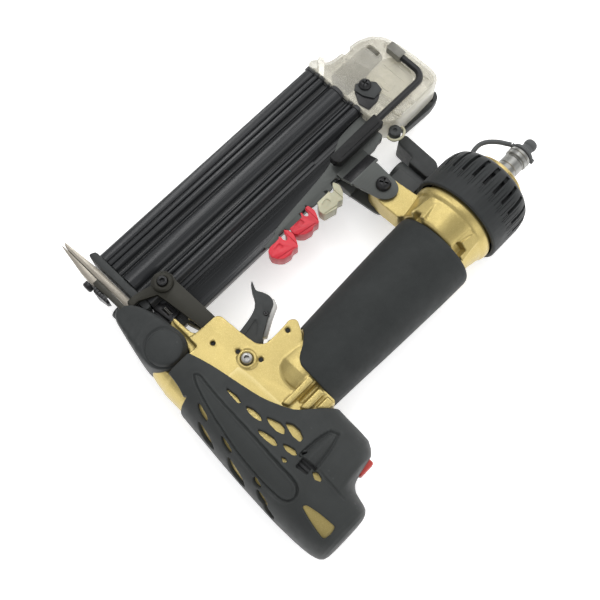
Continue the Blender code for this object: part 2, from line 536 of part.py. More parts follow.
# ---------------------------------------------------------------- belt hook
hook_mount = node("hook_mount", rod("y", HOOK_AXIS, 7.0, -123.4, -101, 24), "black")
join(hook_mount, box(158, 180, -121, -104, -24, -10.9))
cut(hook_mount, rod("z", (156.2, -109.7), 5.2, -16, -8, 12))
hook = node("belt_hook", prism(rounded([(187.4, -104), (187.4, -121), (196.5, -121.4), (200, -117), (200.4, -91), (197, -89.2), (192.4, -90.6),
                                        (191.6, -104)], 2.5, 3), -30, -12), "black", "hook")
soften(hook, 0.6, 1)

# --------------------------------------------------------------------- grip
GRIP = [(40, 22.0, 21.6), (60, 22.8, 22.2), (80, 23.8, 22.8), (110, 25.0, 23.2), (135, 25.8, 23.4), (150.1, 26.0, 23.4)]
grip_loops = []
for gx, gy, gz in GRIP:
    loop = []
    for k in range(32):
        a = 2 * math.pi * k / 32
        c, s = math.cos(a), math.sin(a)
        e = 2 / 2.15
        loop.append((gx, -157.4 + gy * math.copysign(abs(c) ** e, c), gz * math.copysign(abs(s) ** e, s)))
    grip_loops.append(loop)
grip = node("grip_sleeve", loft(grip_loops), "rubber")
cut(grip, rod("x", (HANDLE_Y, 0), 20.15, 20, 170, 40),
    prism([(20, -120), (67, -120), (61.6, -133.4), (57, -141.4), (44.4, -149.4), (41.8, -152.4), (42.0, -190), (20, -190)], -40, 40))

# ------------------------------------------------------------------ end cap
cap = node("end_cap", turned([(27.6, 173.0), (30.0, 173.0), (30.0, 196), (29.2, 203), (27.0, 207.6), (24.0, 209.6), (18.6, 209.6),
                              (18.6, 205.4), (24, 205.0), (27.2, 201), (27.6, 196)], "x", (CAP_Y, 0), 40), "black")
for i in range(16):
    a = 2 * math.pi * (i + 0.5) / 16
    slot = box(192, 215, -1.0, 1.0, 22, 40)
    bmesh.ops.rotate(slot, cent=(0, 0, 0), matrix=Matrix.Rotation(a, 3, "X"), verts=slot.verts)
    bmesh.ops.translate(slot, vec=(0, CAP_Y, 0), verts=slot.verts)
    cut(cap, slot)
node("end_plate", turned([(8.4, 176), (10.6, 176), (10.6, 205.8), (18.2, 205.8), (18.2, 211.2), (17.4, 212), (7.4, 212), (7.4, 206), (8.4, 206)],
                         "x", (CAP_Y, 0), 36), "gold")
node("exhaust_filter", ring("x", (CAP_Y, 0), 17.5, 23.0, 181, 203, 28), "grey_rubber")
node("air_plug", turned([(3.0, 206.6), (6.9, 206.6), (6.9, 212.2), (7.4, 212.3), (7.4, 217.6), (5.6, 218.4), (5.6, 219.8), (7.2, 220.8), (7.2, 225.4),
                         (6.4, 226.0), (4.4, 226.6), (4.4, 236.5), (3.0, 236.5)], "x", (CAP_Y, 0), 28), "chrome", "plug")
node("dust_cap", turned([(4.75, 228.2), (7.9, 228.2), (8.2, 229.6), (8.0, 231.4), (5.9, 232.6), (5.6, 236), (4.7, 239), (4.3, 241.6), (3.4, 244.1), (0, 245),
                         (0, 237.4), (4.75, 237.4)], "x", (CAP_Y, 0), 28, closed=True), "grey_rubber", "dust")
wire("dust_cap_strap", smooth_path([(210.7, -131.2, 0), (214, -129.6, 0), (219.4, -129.0, 0), (224.4, -131.2, 0), (228.3, -135.6, 0),
                                    (230.0, -140.2, 0), (229.8, -144.0, 0)], 3), 1.2, "grey_rubber", resolution=1)
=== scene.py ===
"""Looks of the pneumatic finish nailer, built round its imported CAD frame.

Shapes are worked out in the tool's own frame in millimetres (x from the driver
axis back along the handle, y out of the nose, z out of the right side) and go
through P() into the row frame in metres.
"""
import json
import math

import bmesh
import bpy
from mathutils import Matrix, Vector
from mathutils.bvhtree import BVHTree

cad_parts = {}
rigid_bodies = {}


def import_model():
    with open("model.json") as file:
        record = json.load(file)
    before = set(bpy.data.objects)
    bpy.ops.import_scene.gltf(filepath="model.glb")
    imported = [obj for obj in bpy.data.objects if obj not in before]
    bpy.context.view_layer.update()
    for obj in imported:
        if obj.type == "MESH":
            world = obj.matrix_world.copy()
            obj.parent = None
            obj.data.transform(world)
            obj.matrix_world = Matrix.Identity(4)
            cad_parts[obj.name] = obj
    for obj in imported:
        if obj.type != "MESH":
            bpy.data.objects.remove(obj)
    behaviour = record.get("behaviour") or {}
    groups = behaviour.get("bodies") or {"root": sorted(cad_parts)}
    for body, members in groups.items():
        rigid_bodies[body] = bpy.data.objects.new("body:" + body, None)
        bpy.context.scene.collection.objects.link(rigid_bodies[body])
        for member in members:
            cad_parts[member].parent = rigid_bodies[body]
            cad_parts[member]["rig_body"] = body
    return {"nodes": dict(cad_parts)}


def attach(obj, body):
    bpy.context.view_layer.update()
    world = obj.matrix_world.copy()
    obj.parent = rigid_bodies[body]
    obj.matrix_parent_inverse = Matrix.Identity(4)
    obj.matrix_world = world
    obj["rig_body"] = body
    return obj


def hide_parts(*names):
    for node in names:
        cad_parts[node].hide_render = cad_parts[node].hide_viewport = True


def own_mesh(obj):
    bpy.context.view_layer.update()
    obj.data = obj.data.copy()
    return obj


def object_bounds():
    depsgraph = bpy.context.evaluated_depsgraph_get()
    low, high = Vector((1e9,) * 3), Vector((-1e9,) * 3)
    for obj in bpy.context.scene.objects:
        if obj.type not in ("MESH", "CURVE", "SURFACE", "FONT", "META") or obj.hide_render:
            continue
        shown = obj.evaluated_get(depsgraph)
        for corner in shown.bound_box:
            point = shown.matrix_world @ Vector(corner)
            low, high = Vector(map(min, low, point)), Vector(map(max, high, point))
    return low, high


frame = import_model()
CAD_LO, CAD_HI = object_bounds()
NODES = frame["nodes"]

# tool frame in mm to the row frame in m, from the frame's own box
OX = CAD_LO.x * 1000 + 27.2
OY = CAD_LO.y * 1000 + 234.0
OZ = CAD_LO.z * 1000 + 30.0


def P(x, y, z):
    return Vector(((x + OX) / 1000.0, (y + OY) / 1000.0, (z + OZ) / 1000.0))


# ================================================================= camera
CAM_AT, CAM_TO = P(-51.10, -242.98, 532.59), P(72.748, -122.12, 0.0)
turn = math.radians(45.7)
right = Vector((math.cos(turn), -math.sin(turn), 0))
back = (CAM_AT - CAM_TO).normalized()
right = (right - back * right.dot(back)).normalized()
up = back.cross(right)
cam = bpy.data.objects.new("camera", bpy.data.cameras.new("camera"))
cam.matrix_world = Matrix((
    (right.x, up.x, back.x, CAM_AT.x), (right.y, up.y, back.y, CAM_AT.y), (right.z, up.z, back.z, CAM_AT.z), (0, 0, 0, 1)))
cam.data.lens, cam.data.sensor_width = 57.93, 36.0
cam.data.clip_start, cam.data.clip_end = 0.02, 20
bpy.context.scene.collection.objects.link(cam)
bpy.context.scene.camera = cam
bpy.context.scene.view_settings.view_transform = "Standard"
bpy.context.scene.view_settings.look = "None"


# ============================================================== materials
class Mat:
    """A principled material with short calls for its procedural nodes."""

    def __init__(self, name, rgb, rough=0.5, metal=0.0, spec=0.5):
        self.m = bpy.data.materials.new(name)
        self.m.use_nodes = True
        self.nt = self.m.node_tree
        self.b = self.nt.nodes["Principled BSDF"]
        self.b.inputs["Base Color"].default_value = (*rgb, 1)
        self.b.inputs["Roughness"].default_value = rough
        self.b.inputs["Metallic"].default_value = metal
        self.b.inputs["Specular IOR Level"].default_value = spec
        self.m.diffuse_color = (*rgb, 1)
        self.rgb, self.rough = rgb, rough
        self.co = self.nt.nodes.new("ShaderNodeTexCoord").outputs["Object"]
        self.normal = None

    def n(self, kind, **inputs):
        node = self.nt.nodes.new(kind)
        for k, v in inputs.items():
            if k in node.inputs:
                s = node.inputs[k]
                if hasattr(v, "links"):
                    self.nt.links.new(v, s)
                else:
                    s.default_value = v
            else:
                setattr(node, k, v)
        return node

    def at(self, stretch=(1, 1, 1), turned=(0, 0, 0)):
        node = self.n("ShaderNodeMapping", Vector=self.co)
        node.inputs["Scale"].default_value = stretch
        node.inputs["Rotation"].default_value = turned
        return node.outputs["Vector"]

    def noise(self, scale, detail=4.0, rough=0.55, stretch=(1, 1, 1), distort=0.0):
        node = self.n("ShaderNodeTexNoise", Vector=self.at(stretch))
        node.inputs["Scale"].default_value = scale
        node.inputs["Detail"].default_value = detail
        node.inputs["Roughness"].default_value = rough
        node.inputs["Distortion"].default_value = distort
        return node.outputs["Fac"]

    def cells(self, scale, stretch=(1, 1, 1), feature="F1"):
        node = self.n("ShaderNodeTexVoronoi", Vector=self.at(stretch), feature=feature)
        node.inputs["Scale"].default_value = scale
        return node.outputs["Distance"]

    def span(self, fac, a, b, lo, hi):
        node = self.n("ShaderNodeMapRange", Value=fac)
        for k, v in (("From Min", a), ("From Max", b), ("To Min", lo), ("To Max", hi)):
            node.inputs[k].default_value = v
        return node.outputs["Result"]

    def mix(self, fac, a, b, blend="MIX"):
        node = self.nt.nodes.new("ShaderNodeMix")
        node.data_type = "RGBA"
        node.blend_type = blend
        for i, v in ((0, fac), (6, a), (7, b)):
            if hasattr(v, "links"):
                self.nt.links.new(v, node.inputs[i])
            else:
                node.inputs[i].default_value = v if i == 0 else (*v, 1)
        return node.outputs[2]

    def math(self, op, a, b=0.0):
        node = self.nt.nodes.new("ShaderNodeMath")
        node.operation = op
        for i, v in ((0, a), (1, b)):
            if hasattr(v, "links"):
                self.nt.links.new(v, node.inputs[i])
            else:
                node.inputs[i].default_value = v
        return node.outputs[0]

    def color(self, out):
        self.nt.links.new(out, self.b.inputs["Base Color"])

    def set(self, name, out):
        self.nt.links.new(out, self.b.inputs[name])

    def bump(self, height, depth_mm, strength=1.0):
        node = self.n("ShaderNodeBump", Height=height)
        node.inputs["Strength"].default_value = strength
        node.inputs["Distance"].default_value = depth_mm / 1000.0
        if self.normal is not None:
            self.nt.links.new(self.normal, node.inputs["Normal"])
        self.normal = node.outputs["Normal"]
        self.nt.links.new(self.normal, self.b.inputs["Normal"])

    def edges(self, lo=0.51, hi=0.56):
        """1 on convex edges: the mask for painted edge highlights, and for edge wear on metal."""
        g = self.nt.nodes.new("ShaderNodeNewGeometry")
        return self.span(g.outputs["Pointiness"], lo, hi, 0.0, 1.0)


def dark(rgb, k):
    return tuple(c * k for c in rgb)


def gold_paint():
    """Champagne metallic paint over a die casting."""
    rgb = (0.545, 0.43, 0.158)
    a = Mat("gold_paint", rgb, 0.36, 0.74)
    flake = a.noise(4200, 2, 0.6)
    cloud = a.noise(55, 3, 0.5)
    c = a.mix(a.span(cloud, 0.35, 0.65, 0, 1), dark(rgb, 0.93), dark(rgb, 1.05))
    c = a.mix(a.span(flake, 0.52, 0.72, 0, 0.65), c, (0.84, 0.72, 0.37))
    c = a.mix(a.span(flake, 0.28, 0.46, 0.35, 0), c, (0.40, 0.31, 0.11))
    # painted highlight: convex edges of the gold paint lightened to pale gold
    c = a.mix(a.math("MULTIPLY", a.edges(0.53, 0.62), 0.35), c, (0.85, 0.76, 0.45))
    a.color(c)
    a.set("Roughness", a.span(a.noise(900, 3), 0.3, 0.7, 0.30, 0.44))
    a.bump(a.noise(2600, 2, 0.5), 0.02, 0.55)
    a.bump(a.noise(420, 2, 0.5), 0.035, 0.35)
    return a.m


def rubber(name, rgb, grain_scale, grain_mm, rough=0.62, spec=0.28, dust=0.5):
    """Moulded elastomer with a fine spark-eroded grain."""
    a = Mat(name, rgb, rough, 0.0, spec)
    cloud = a.noise(38, 4, 0.6)
    fine = a.noise(grain_scale, 3, 0.65)
    c = a.mix(a.span(cloud, 0.3, 0.7, 0, 1), dark(rgb, 0.88), dark(rgb, 1.12))
    c = a.mix(a.span(fine, 0.55, 0.8, 0, 0.5), c, dark(rgb, 1.7))
    specks = a.noise(1900, 2, 0.4)
    c = a.mix(a.span(specks, 0.72, 0.78, 0, dust), c, dark(rgb, 2.8))
    # painted highlight: convex edges of the rubber lightened as a rim sheen
    c = a.mix(a.math("MULTIPLY", a.edges(0.52, 0.60), 0.4), c, dark(rgb, 1.8))
    a.color(c)
    a.set("Roughness", a.span(a.noise(160, 3), 0.3, 0.7, rough - 0.07, rough + 0.08))
    a.bump(fine, grain_mm, 0.8)
    a.bump(a.noise(240, 3, 0.5), 0.05, 0.25)
    a.b.inputs["Sheen Weight"].default_value = 0.04
    a.b.inputs["Sheen Roughness"].default_value = 0.5
    return a.m


def plastic(name, rgb, rough=0.42, grain=1800, grain_mm=0.012, spec=0.45):
    a = Mat(name, rgb, rough, 0.0, spec)
    c = a.mix(a.span(a.noise(70, 3), 0.3, 0.7, 0, 1), dark(rgb, 0.9), dark(rgb, 1.1))
    # painted highlight: convex edges of the plastic lightened
    c = a.mix(a.math("MULTIPLY", a.edges(0.52, 0.60), 0.35), c, tuple(min(1, x * 1.5 + 0.02) for x in rgb))
    a.color(c)
    a.set("Roughness", a.span(a.noise(420, 3), 0.3, 0.7, rough - 0.06, rough + 0.08))
    a.bump(a.noise(grain, 3, 0.6), grain_mm, 0.7)
    return a.m


def metal(name, rgb, rough, metallic=1.0, brush=(1, 1, 1), brush_scale=900, brush_mm=0.006, edge_wear_and_highlight=0.35, tone=0.12, spec=0.5):
    """Steel or aluminium with brush or drawing marks along the long side of the stretch."""
    a = Mat(name, rgb, rough, metallic, spec)
    lines = a.noise(brush_scale, 3, 0.6, stretch=brush)
    c = a.mix(a.span(lines, 0.3, 0.7, 0, 1), dark(rgb, 1 - tone), dark(rgb, 1 + tone))
    c = a.mix(a.span(a.noise(90, 4, 0.6), 0.45, 0.75, 0, 0.35), c, dark(rgb, 0.75))
    # convex edges lightened: edge wear, and a painted edge highlight
    c = a.mix(a.math("MULTIPLY", a.edges(0.52, 0.60), edge_wear_and_highlight), c, tuple(min(1, x * 1.9 + 0.03) for x in rgb))
    a.color(c)
    a.set("Roughness", a.span(lines, 0.3, 0.7, max(0.03, rough - 0.08), rough + 0.1))
    a.bump(lines, brush_mm, 0.8)
    return a.m


def anodised():
    """Black anodised extrusion: die lines along x and a satin gloss."""
    rgb = (0.0058, 0.0066, 0.0072)
    a = Mat("anodised_black", rgb, 0.26, 0.0, 0.36)
    die = a.noise(1500, 3, 0.55, stretch=(0.012, 1, 1))
    c = a.mix(a.span(die, 0.35, 0.7, 0, 1), dark(rgb, 0.7), dark(rgb, 1.6))
    # painted highlight: convex edges and rib crests of the extrusion lightened to dark grey
    c = a.mix(a.math("MULTIPLY", a.edges(0.52, 0.58), 0.5), c, (0.05, 0.052, 0.055))
    scuff = a.noise(300, 5, 0.7, stretch=(0.25, 1, 1))
    c = a.mix(a.span(scuff, 0.66, 0.74, 0, 0.4), c, (0.035, 0.036, 0.038))
    a.color(c)
    a.set("Roughness", a.span(die, 0.3, 0.7, 0.20, 0.30))
    a.bump(die, 0.004, 0.6)
    a.bump(a.noise(3800, 2), 0.004, 0.5)
    return a.m


def clear_plastic(name, tint=(0.93, 0.92, 0.87), haze=(0.62, 0.60, 0.53), haze_amount=0.16):
    """Clear moulding: mostly passes light, grey haze, bright glossy edges."""
    a = Mat(name, haze, 0.25)
    nt = a.nt
    passing = nt.nodes.new("ShaderNodeBsdfTransparent")
    passing.inputs["Color"].default_value = (*tint, 1)
    shine = nt.nodes.new("ShaderNodeBsdfGlossy")
    shine.inputs["Color"].default_value = (0.8, 0.8, 0.77, 1)
    shine.inputs["Roughness"].default_value = 0.3
    milk = nt.nodes.new("ShaderNodeBsdfDiffuse")
    milk.inputs["Color"].default_value = (*haze, 1)
    b = nt.nodes.new("ShaderNodeBump")
    b.inputs["Strength"].default_value = 0.25
    b.inputs["Distance"].default_value = 0.00006
    nt.links.new(a.noise(260, 3, 0.5), b.inputs["Height"])
    for s in (shine, milk):
        nt.links.new(b.outputs["Normal"], s.inputs["Normal"])
    body = nt.nodes.new("ShaderNodeMixShader")
    nt.links.new(a.span(a.noise(120, 4, 0.6), 0.3, 0.7, haze_amount * 0.7, haze_amount * 1.4), body.inputs[0])
    nt.links.new(passing.outputs[0], body.inputs[1])
    nt.links.new(milk.outputs[0], body.inputs[2])
    lw = nt.nodes.new("ShaderNodeLayerWeight")
    lw.inputs["Blend"].default_value = 0.32
    nt.links.new(b.outputs["Normal"], lw.inputs["Normal"])
    rim = nt.nodes.new("ShaderNodeMixShader")
    nt.links.new(a.span(lw.outputs["Facing"], 0.0, 1.0, 0.05, 0.75), rim.inputs[0])
    nt.links.new(body.outputs[0], rim.inputs[1])
    both = nt.nodes.new("ShaderNodeMixShader")
    both.inputs[0].default_value = 0.45
    nt.links.new(shine.outputs[0], both.inputs[1])
    nt.links.new(milk.outputs[0], both.inputs[2])
    nt.links.new(both.outputs[0], rim.inputs[2])
    nt.links.new(rim.outputs[0], nt.nodes["Material Output"].inputs["Surface"])
    return a.m


GOLD = gold_paint()
RUBBER = rubber("rubber_cover", (0.031, 0.0335, 0.033), 5200, 0.012, rough=0.60, dust=0.25)
GRIP = rubber("rubber_grip", (0.0245, 0.027, 0.027), 2300, 0.055, rough=0.68, dust=0.6)
NOSE_RUBBER = rubber("rubber_nose", (0.030, 0.0325, 0.0325), 4200, 0.02, rough=0.56, dust=0.2)
CAP = rubber("cap_black", (0.022, 0.024, 0.0245), 2600, 0.03, rough=0.56, dust=0.2)
GREY_RUBBER = rubber("rubber_grey", (0.075, 0.078, 0.079), 3200, 0.02, rough=0.6, dust=0.3)
ANODISED = anodised()
BLACK_PLASTIC = plastic("plastic_black", (0.018, 0.019, 0.020), 0.45)
BLACK_SATIN = plastic("black_satin", (0.026, 0.0285, 0.0285), 0.5, grain=2600, grain_mm=0.02)
BLACK_STEEL = metal("steel_black", (0.014, 0.014, 0.015), 0.34, 0.35, brush=(1, 1, 1), edge_wear_and_highlight=0.6, tone=0.3)
LINK = metal("steel_link", (0.0195, 0.0185, 0.0128), 0.42, 0.35, brush=(1, 0.03, 1), brush_scale=1100, edge_wear_and_highlight=0.5)
NOSE_STEEL = metal("steel_nose", (0.36, 0.33, 0.28), 0.36, 0.75, brush=(1, 0.04, 1), brush_scale=1300, edge_wear_and_highlight=0.4)
STEEL = metal("steel_bright", (0.42, 0.415, 0.40), 0.36, 0.9, brush_mm=0.0015, edge_wear_and_highlight=0.15, tone=0.06)
PLATE = metal("steel_plate", (0.070, 0.075, 0.071), 0.42, 0.45, brush=(0.05, 1, 1), brush_scale=1000, edge_wear_and_highlight=0.45)
CHROME = metal("chrome", (0.315, 0.315, 0.30), 0.34, 0.85, brush=(1, 0.2, 0.2), brush_scale=500, brush_mm=0.0012, edge_wear_and_highlight=0.1, tone=0.05)
GOLD_METAL = metal("brass_plated", (0.58, 0.45, 0.19), 0.32, 0.85, brush_mm=0.0012, edge_wear_and_highlight=0.2, tone=0.06)
DEEP_BLACK = plastic("plastic_deep_black", (0.007, 0.0072, 0.0075), 0.42, spec=0.3)
PIN_DARK = metal("pin_shadowed", (0.004, 0.004, 0.004), 0.5, 0.2, brush_mm=0.001, edge_wear_and_highlight=0.1)
RED = plastic("plastic_red", (0.50, 0.016, 0.032), 0.34, spec=0.45)
RED_BUTTON = plastic("plastic_red_button", (0.46, 0.05, 0.04), 0.45)
CREAM = plastic("plastic_cream", (0.42, 0.405, 0.285), 0.35)
CLEAR = clear_plastic("plastic_clear", (0.93, 0.92, 0.885), (0.62, 0.60, 0.53), 0.17)
CLEAR_CORE = clear_plastic("plastic_clear_core", (0.93, 0.92, 0.865), (0.90, 0.88, 0.78), 0.58)
SPRING_CASE = clear_plastic("plastic_smoked", (0.46, 0.44, 0.39), (0.21, 0.205, 0.18), 0.75)
for m in (RED, CREAM):
    b = m.node_tree.nodes["Principled BSDF"]
    b.inputs["Subsurface Weight"].default_value = 0.12
    b.inputs["Subsurface Radius"].default_value = (1, 0.5, 0.4)
    b.inputs["Subsurface Scale"].default_value = 0.0012


# ================================================================= shapes
def place(a, b, c, axis):
    return {"z": (a, b, c), "x": (c, a, b), "y": (a, c, b)}[axis]


def prism(points, lo, hi, axis="z"):
    bm = bmesh.new()
    face = bm.faces.new([bm.verts.new(place(p[0], p[1], lo, axis)) for p in points])
    out = bmesh.ops.extrude_face_region(bm, geom=[face])
    step = Vector(place(0, 0, hi - lo, axis))
    bmesh.ops.translate(bm, vec=step, verts=[v for v in out["geom"] if isinstance(v, bmesh.types.BMVert)])
    bmesh.ops.recalc_face_normals(bm, faces=bm.faces)
    return bm


def box(x0, x1, y0, y1, z0, z1):
    return prism([(x0, y0), (x1, y0), (x1, y1), (x0, y1)], z0, z1)


def rounded(points, radius, steps=3):
    out, n = [], len(points)
    for i in range(n):
        a, b, c = (Vector(points[(i + k) % n]) for k in (-1, 0, 1))
        u, v = a - b, c - b
        r = min(radius, 0.42 * u.length, 0.42 * v.length)
        p, q = b + u.normalized() * r, b + v.normalized() * r
        for k in range(steps + 1):
            t = k / steps
            out.append(tuple((1 - t) ** 2 * p + 2 * t * (1 - t) * b + t * t * q))
    return out


def spline(points, per=6, closed=False):
    """Catmull-Rom points through a route."""
    pts = [Vector(p) for p in points]
    n = len(pts)
    out = []
    for i in range(n if closed else n - 1):
        if closed:
            a, b, c, d = (pts[(i + k) % n] for k in (-1, 0, 1, 2))
        else:
            b, c = pts[i], pts[i + 1]
            a = pts[i - 1] if i else b * 2 - c
            d = pts[i + 2] if i + 2 < n else c * 2 - b
        for k in range(per):
            t = k / per
            out.append(0.5 * ((2 * b) + (c - a) * t + (2 * a - 5 * b + 4 * c - d) * t * t + (3 * b - a - 3 * c + d) * t ** 3))
    if not closed:
        out.append(pts[-1])
    return [tuple(p) for p in out]


def turned(profile, axis, centre, sides=48, closed=True):
    bm = bmesh.new()
    to, cent, ax = {
        "x": (lambda r, t: (t, centre[0] + r, centre[1]), (0, centre[0], centre[1]), (1, 0, 0)),
        "y": (lambda r, t: (centre[0] + r, t, centre[1]), (centre[0], 0, centre[1]), (0, 1, 0)),
        "z": (lambda r, t: (centre[0] + r, centre[1], t), (centre[0], centre[1], 0), (0, 0, 1)),
    }[axis]
    vs = [bm.verts.new(to(r, t)) for r, t in profile]
    pairs = list(zip(vs, vs[1:]))
    if closed:
        pairs.append((vs[-1], vs[0]))
    es = [bm.edges.new(p) for p in pairs]
    bmesh.ops.spin(bm, geom=vs + es, cent=cent, axis=ax, angle=2 * math.pi, steps=sides, use_duplicate=False)
    bmesh.ops.remove_doubles(bm, verts=bm.verts, dist=1e-4)
    bmesh.ops.dissolve_degenerate(bm, dist=1e-4, edges=bm.edges)
    bmesh.ops.delete(bm, geom=[v for v in bm.verts if not v.link_faces], context="VERTS")
    bmesh.ops.recalc_face_normals(bm, faces=bm.faces)
    return bm


def rod(axis, centre, r, lo, hi, sides=32, soft=0.0):
    if soft:
        pr = [(0, lo), (r - soft, lo), (r - soft * 0.3, lo + soft * 0.3), (r, lo + soft), (r, hi - soft), (r - soft * 0.3, hi - soft * 0.3), (r - soft, hi), (0, hi)]
    else:
        pr = [(0, lo), (r, lo), (r, hi), (0, hi)]
    return turned(pr, axis, centre, sides, closed=False)


def ring(axis, centre, r0, r1, lo, hi, sides=40):
    return turned([(r0, lo), (r1, lo), (r1, hi), (r0, hi)], axis, centre, sides)


def loft(loops, closed=False):
    bm = bmesh.new()
    rows = [[bm.verts.new(p) for p in pts] for pts in loops]
    n = len(rows[0])
    pairs = list(zip(rows, rows[1:])) + ([(rows[-1], rows[0])] if closed else [])
    for a, b in pairs:
        for i in range(n):
            j = (i + 1) % n
            bm.faces.new((a[i], a[j], b[j], b[i]))
    if not closed:
        bm.faces.new(rows[0][::-1])
        bm.faces.new(rows[-1])
    bmesh.ops.recalc_face_normals(bm, faces=bm.faces)
    return bm


def tube(points, radius, sides=12, closed=False):
    """A round tube along points; radius is a number or one per point."""
    pts = [Vector(p) for p in points]
    n = len(pts)
    up_ = Vector((0, 0, 1))
    loops = []
    for i, p in enumerate(pts):
        a, b = (pts[i - 1], pts[(i + 1) % n]) if closed else (pts[max(i - 1, 0)], pts[min(i + 1, n - 1)])
        d = (b - a).normalized()
        s = d.cross(up_)
        if s.length < 1e-3:
            s = d.cross(Vector((0, 1, 0)))
        s.normalize()
        w = s.cross(d)
        r = radius[i] if hasattr(radius, "__len__") else radius
        loops.append([p + s * r * math.cos(2 * math.pi * k / sides) + w * r * math.sin(2 * math.pi * k / sides) for k in range(sides)])
    return loft(loops, closed)


def to_object(name, bm):
    for v in bm.verts:
        v.co = P(*v.co)
    me = bpy.data.meshes.new(name)
    bm.to_mesh(me)
    bm.free()
    ob = bpy.data.objects.new(name, me)
    bpy.context.scene.collection.objects.link(ob)
    return ob


HELPERS = []


def boolean(ob, how, *bms):
    for bm in bms:
        h = to_object("helper", bm)
        h.hide_render = True
        m = ob.modifiers.new(how, "BOOLEAN")
        m.operation, m.solver, m.object = how, "EXACT", h
        HELPERS.append(h)


def cut(ob, *bms):
    boolean(ob, "DIFFERENCE", *bms)


def join(ob, *bms):
    boolean(ob, "UNION", *bms)


def apply(ob):
    """Modifiers become the mesh, and the helpers go."""
    bpy.context.view_layer.update()
    dg = bpy.context.evaluated_depsgraph_get()
    me = bpy.data.meshes.new_from_object(ob.evaluated_get(dg))
    old = ob.data
    ob.modifiers.clear()
    ob.data = me
    me.name = ob.name
    bpy.data.meshes.remove(old)
    for h in HELPERS:
        hm = h.data
        bpy.data.objects.remove(h, do_unlink=True)
        bpy.data.meshes.remove(hm)
    HELPERS.clear()
    return ob


def bevel(ob, width, segments=2, angle=35):
    m = ob.modifiers.new("bevel", "BEVEL")
    m.width, m.segments = width / 1000.0, segments
    m.limit_method, m.angle_limit = "ANGLE", math.radians(angle)
    m.use_clamp_overlap = True
    m.harden_normals = False
    return ob


def remesh(ob, voxel, smooth=2, factor=0.5):
    """Rounds every edge a little, as a mould or a casting does."""
    m = ob.modifiers.new("voxels", "REMESH")
    m.mode, m.voxel_size = "VOXEL", voxel / 1000.0
    m.use_smooth_shade = True
    if smooth:
        s = ob.modifiers.new("smooth", "SMOOTH")
        s.iterations, s.factor = smooth, factor
    return apply(ob)


def finish_piece(ob, mat, body, replaces=(), smooth=35):
    me = ob.data
    me.materials.clear()
    for m in (mat if isinstance(mat, (list, tuple)) else [mat]):
        me.materials.append(m)
    me.shade_smooth()
    if smooth:
        me.set_sharp_from_angle(angle=math.radians(smooth))
    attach(ob, body)
    if replaces:
        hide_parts(*replaces)
    return ob


def piece(name, bm, mat, body, replaces=(), soft=0.0, seg=2, smooth=35, cuts=(), joins=(), angle=35):
    ob = to_object(name, bm)
    if joins:
        join(ob, *joins)
    if cuts:
        cut(ob, *cuts)
    if soft:
        if joins or cuts:
            apply(ob)
            clean(ob)
        bevel(ob, soft, seg, angle)
    apply(ob)
    return finish_piece(ob, mat, body, replaces, smooth)


def clean(ob):
    bm = bmesh.new()
    bm.from_mesh(ob.data)
    bmesh.ops.remove_doubles(bm, verts=bm.verts, dist=1e-6)
    bmesh.ops.dissolve_limit(bm, angle_limit=math.radians(0.6), verts=bm.verts, edges=bm.edges)
    bm.to_mesh(ob.data)
    bm.free()


def upgrade(node, mat, soft=0.3, seg=2, name=None, cuts=(), joins=(), smooth=35, angle=35):
    """A CAD node's own shape, with its edges rounded and any small details added."""
    bm = bmesh.new()
    bm.from_mesh(NODES[node].data)
    bmesh.ops.remove_doubles(bm, verts=bm.verts, dist=2e-6)
    bmesh.ops.dissolve_limit(bm, angle_limit=math.radians(0.6), verts=bm.verts, edges=bm.edges)
    me = bpy.data.meshes.new(name or node + "_look")
    bm.to_mesh(me)
    bm.free()
    ob = bpy.data.objects.new(name or node + "_look", me)
    bpy.context.scene.collection.objects.link(ob)
    if joins:
        join(ob, *joins)
    if cuts:
        cut(ob, *cuts)
    if joins or cuts:
        apply(ob)
        clean(ob)
    if soft:
        bevel(ob, soft, seg, angle)
    apply(ob)
    return finish_piece(ob, mat, BODY_OF[node], [node], smooth)


BODY_OF = {n: o["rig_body"] for n, o in NODES.items()}


def paint(node, mat):
    me = NODES[node].data
    if not me.materials:
        me.materials.append(mat)
    for i in range(len(me.materials)):
        me.materials[i] = mat


# every node carries a finished material, whether or not a richer piece stands for it
for n in NODES:
    paint(n, BLACK_PLASTIC)
for n in ("trigger_pin", "arm_guide_pin", "housing_pin", "valve_pin", "lever_pin", "latch_pin", "cylinder_sleeve", "piston", "driver_blade",
          "head_valve_spring", "valve_stem", "roll_spring", "pusher"):
    paint(n, STEEL)
for n in ("bumper", "piston_ring", "exhaust_filter", "dust_cap_strap", "dust_cap", "latch_lever"):
    paint(n, GREY_RUBBER)

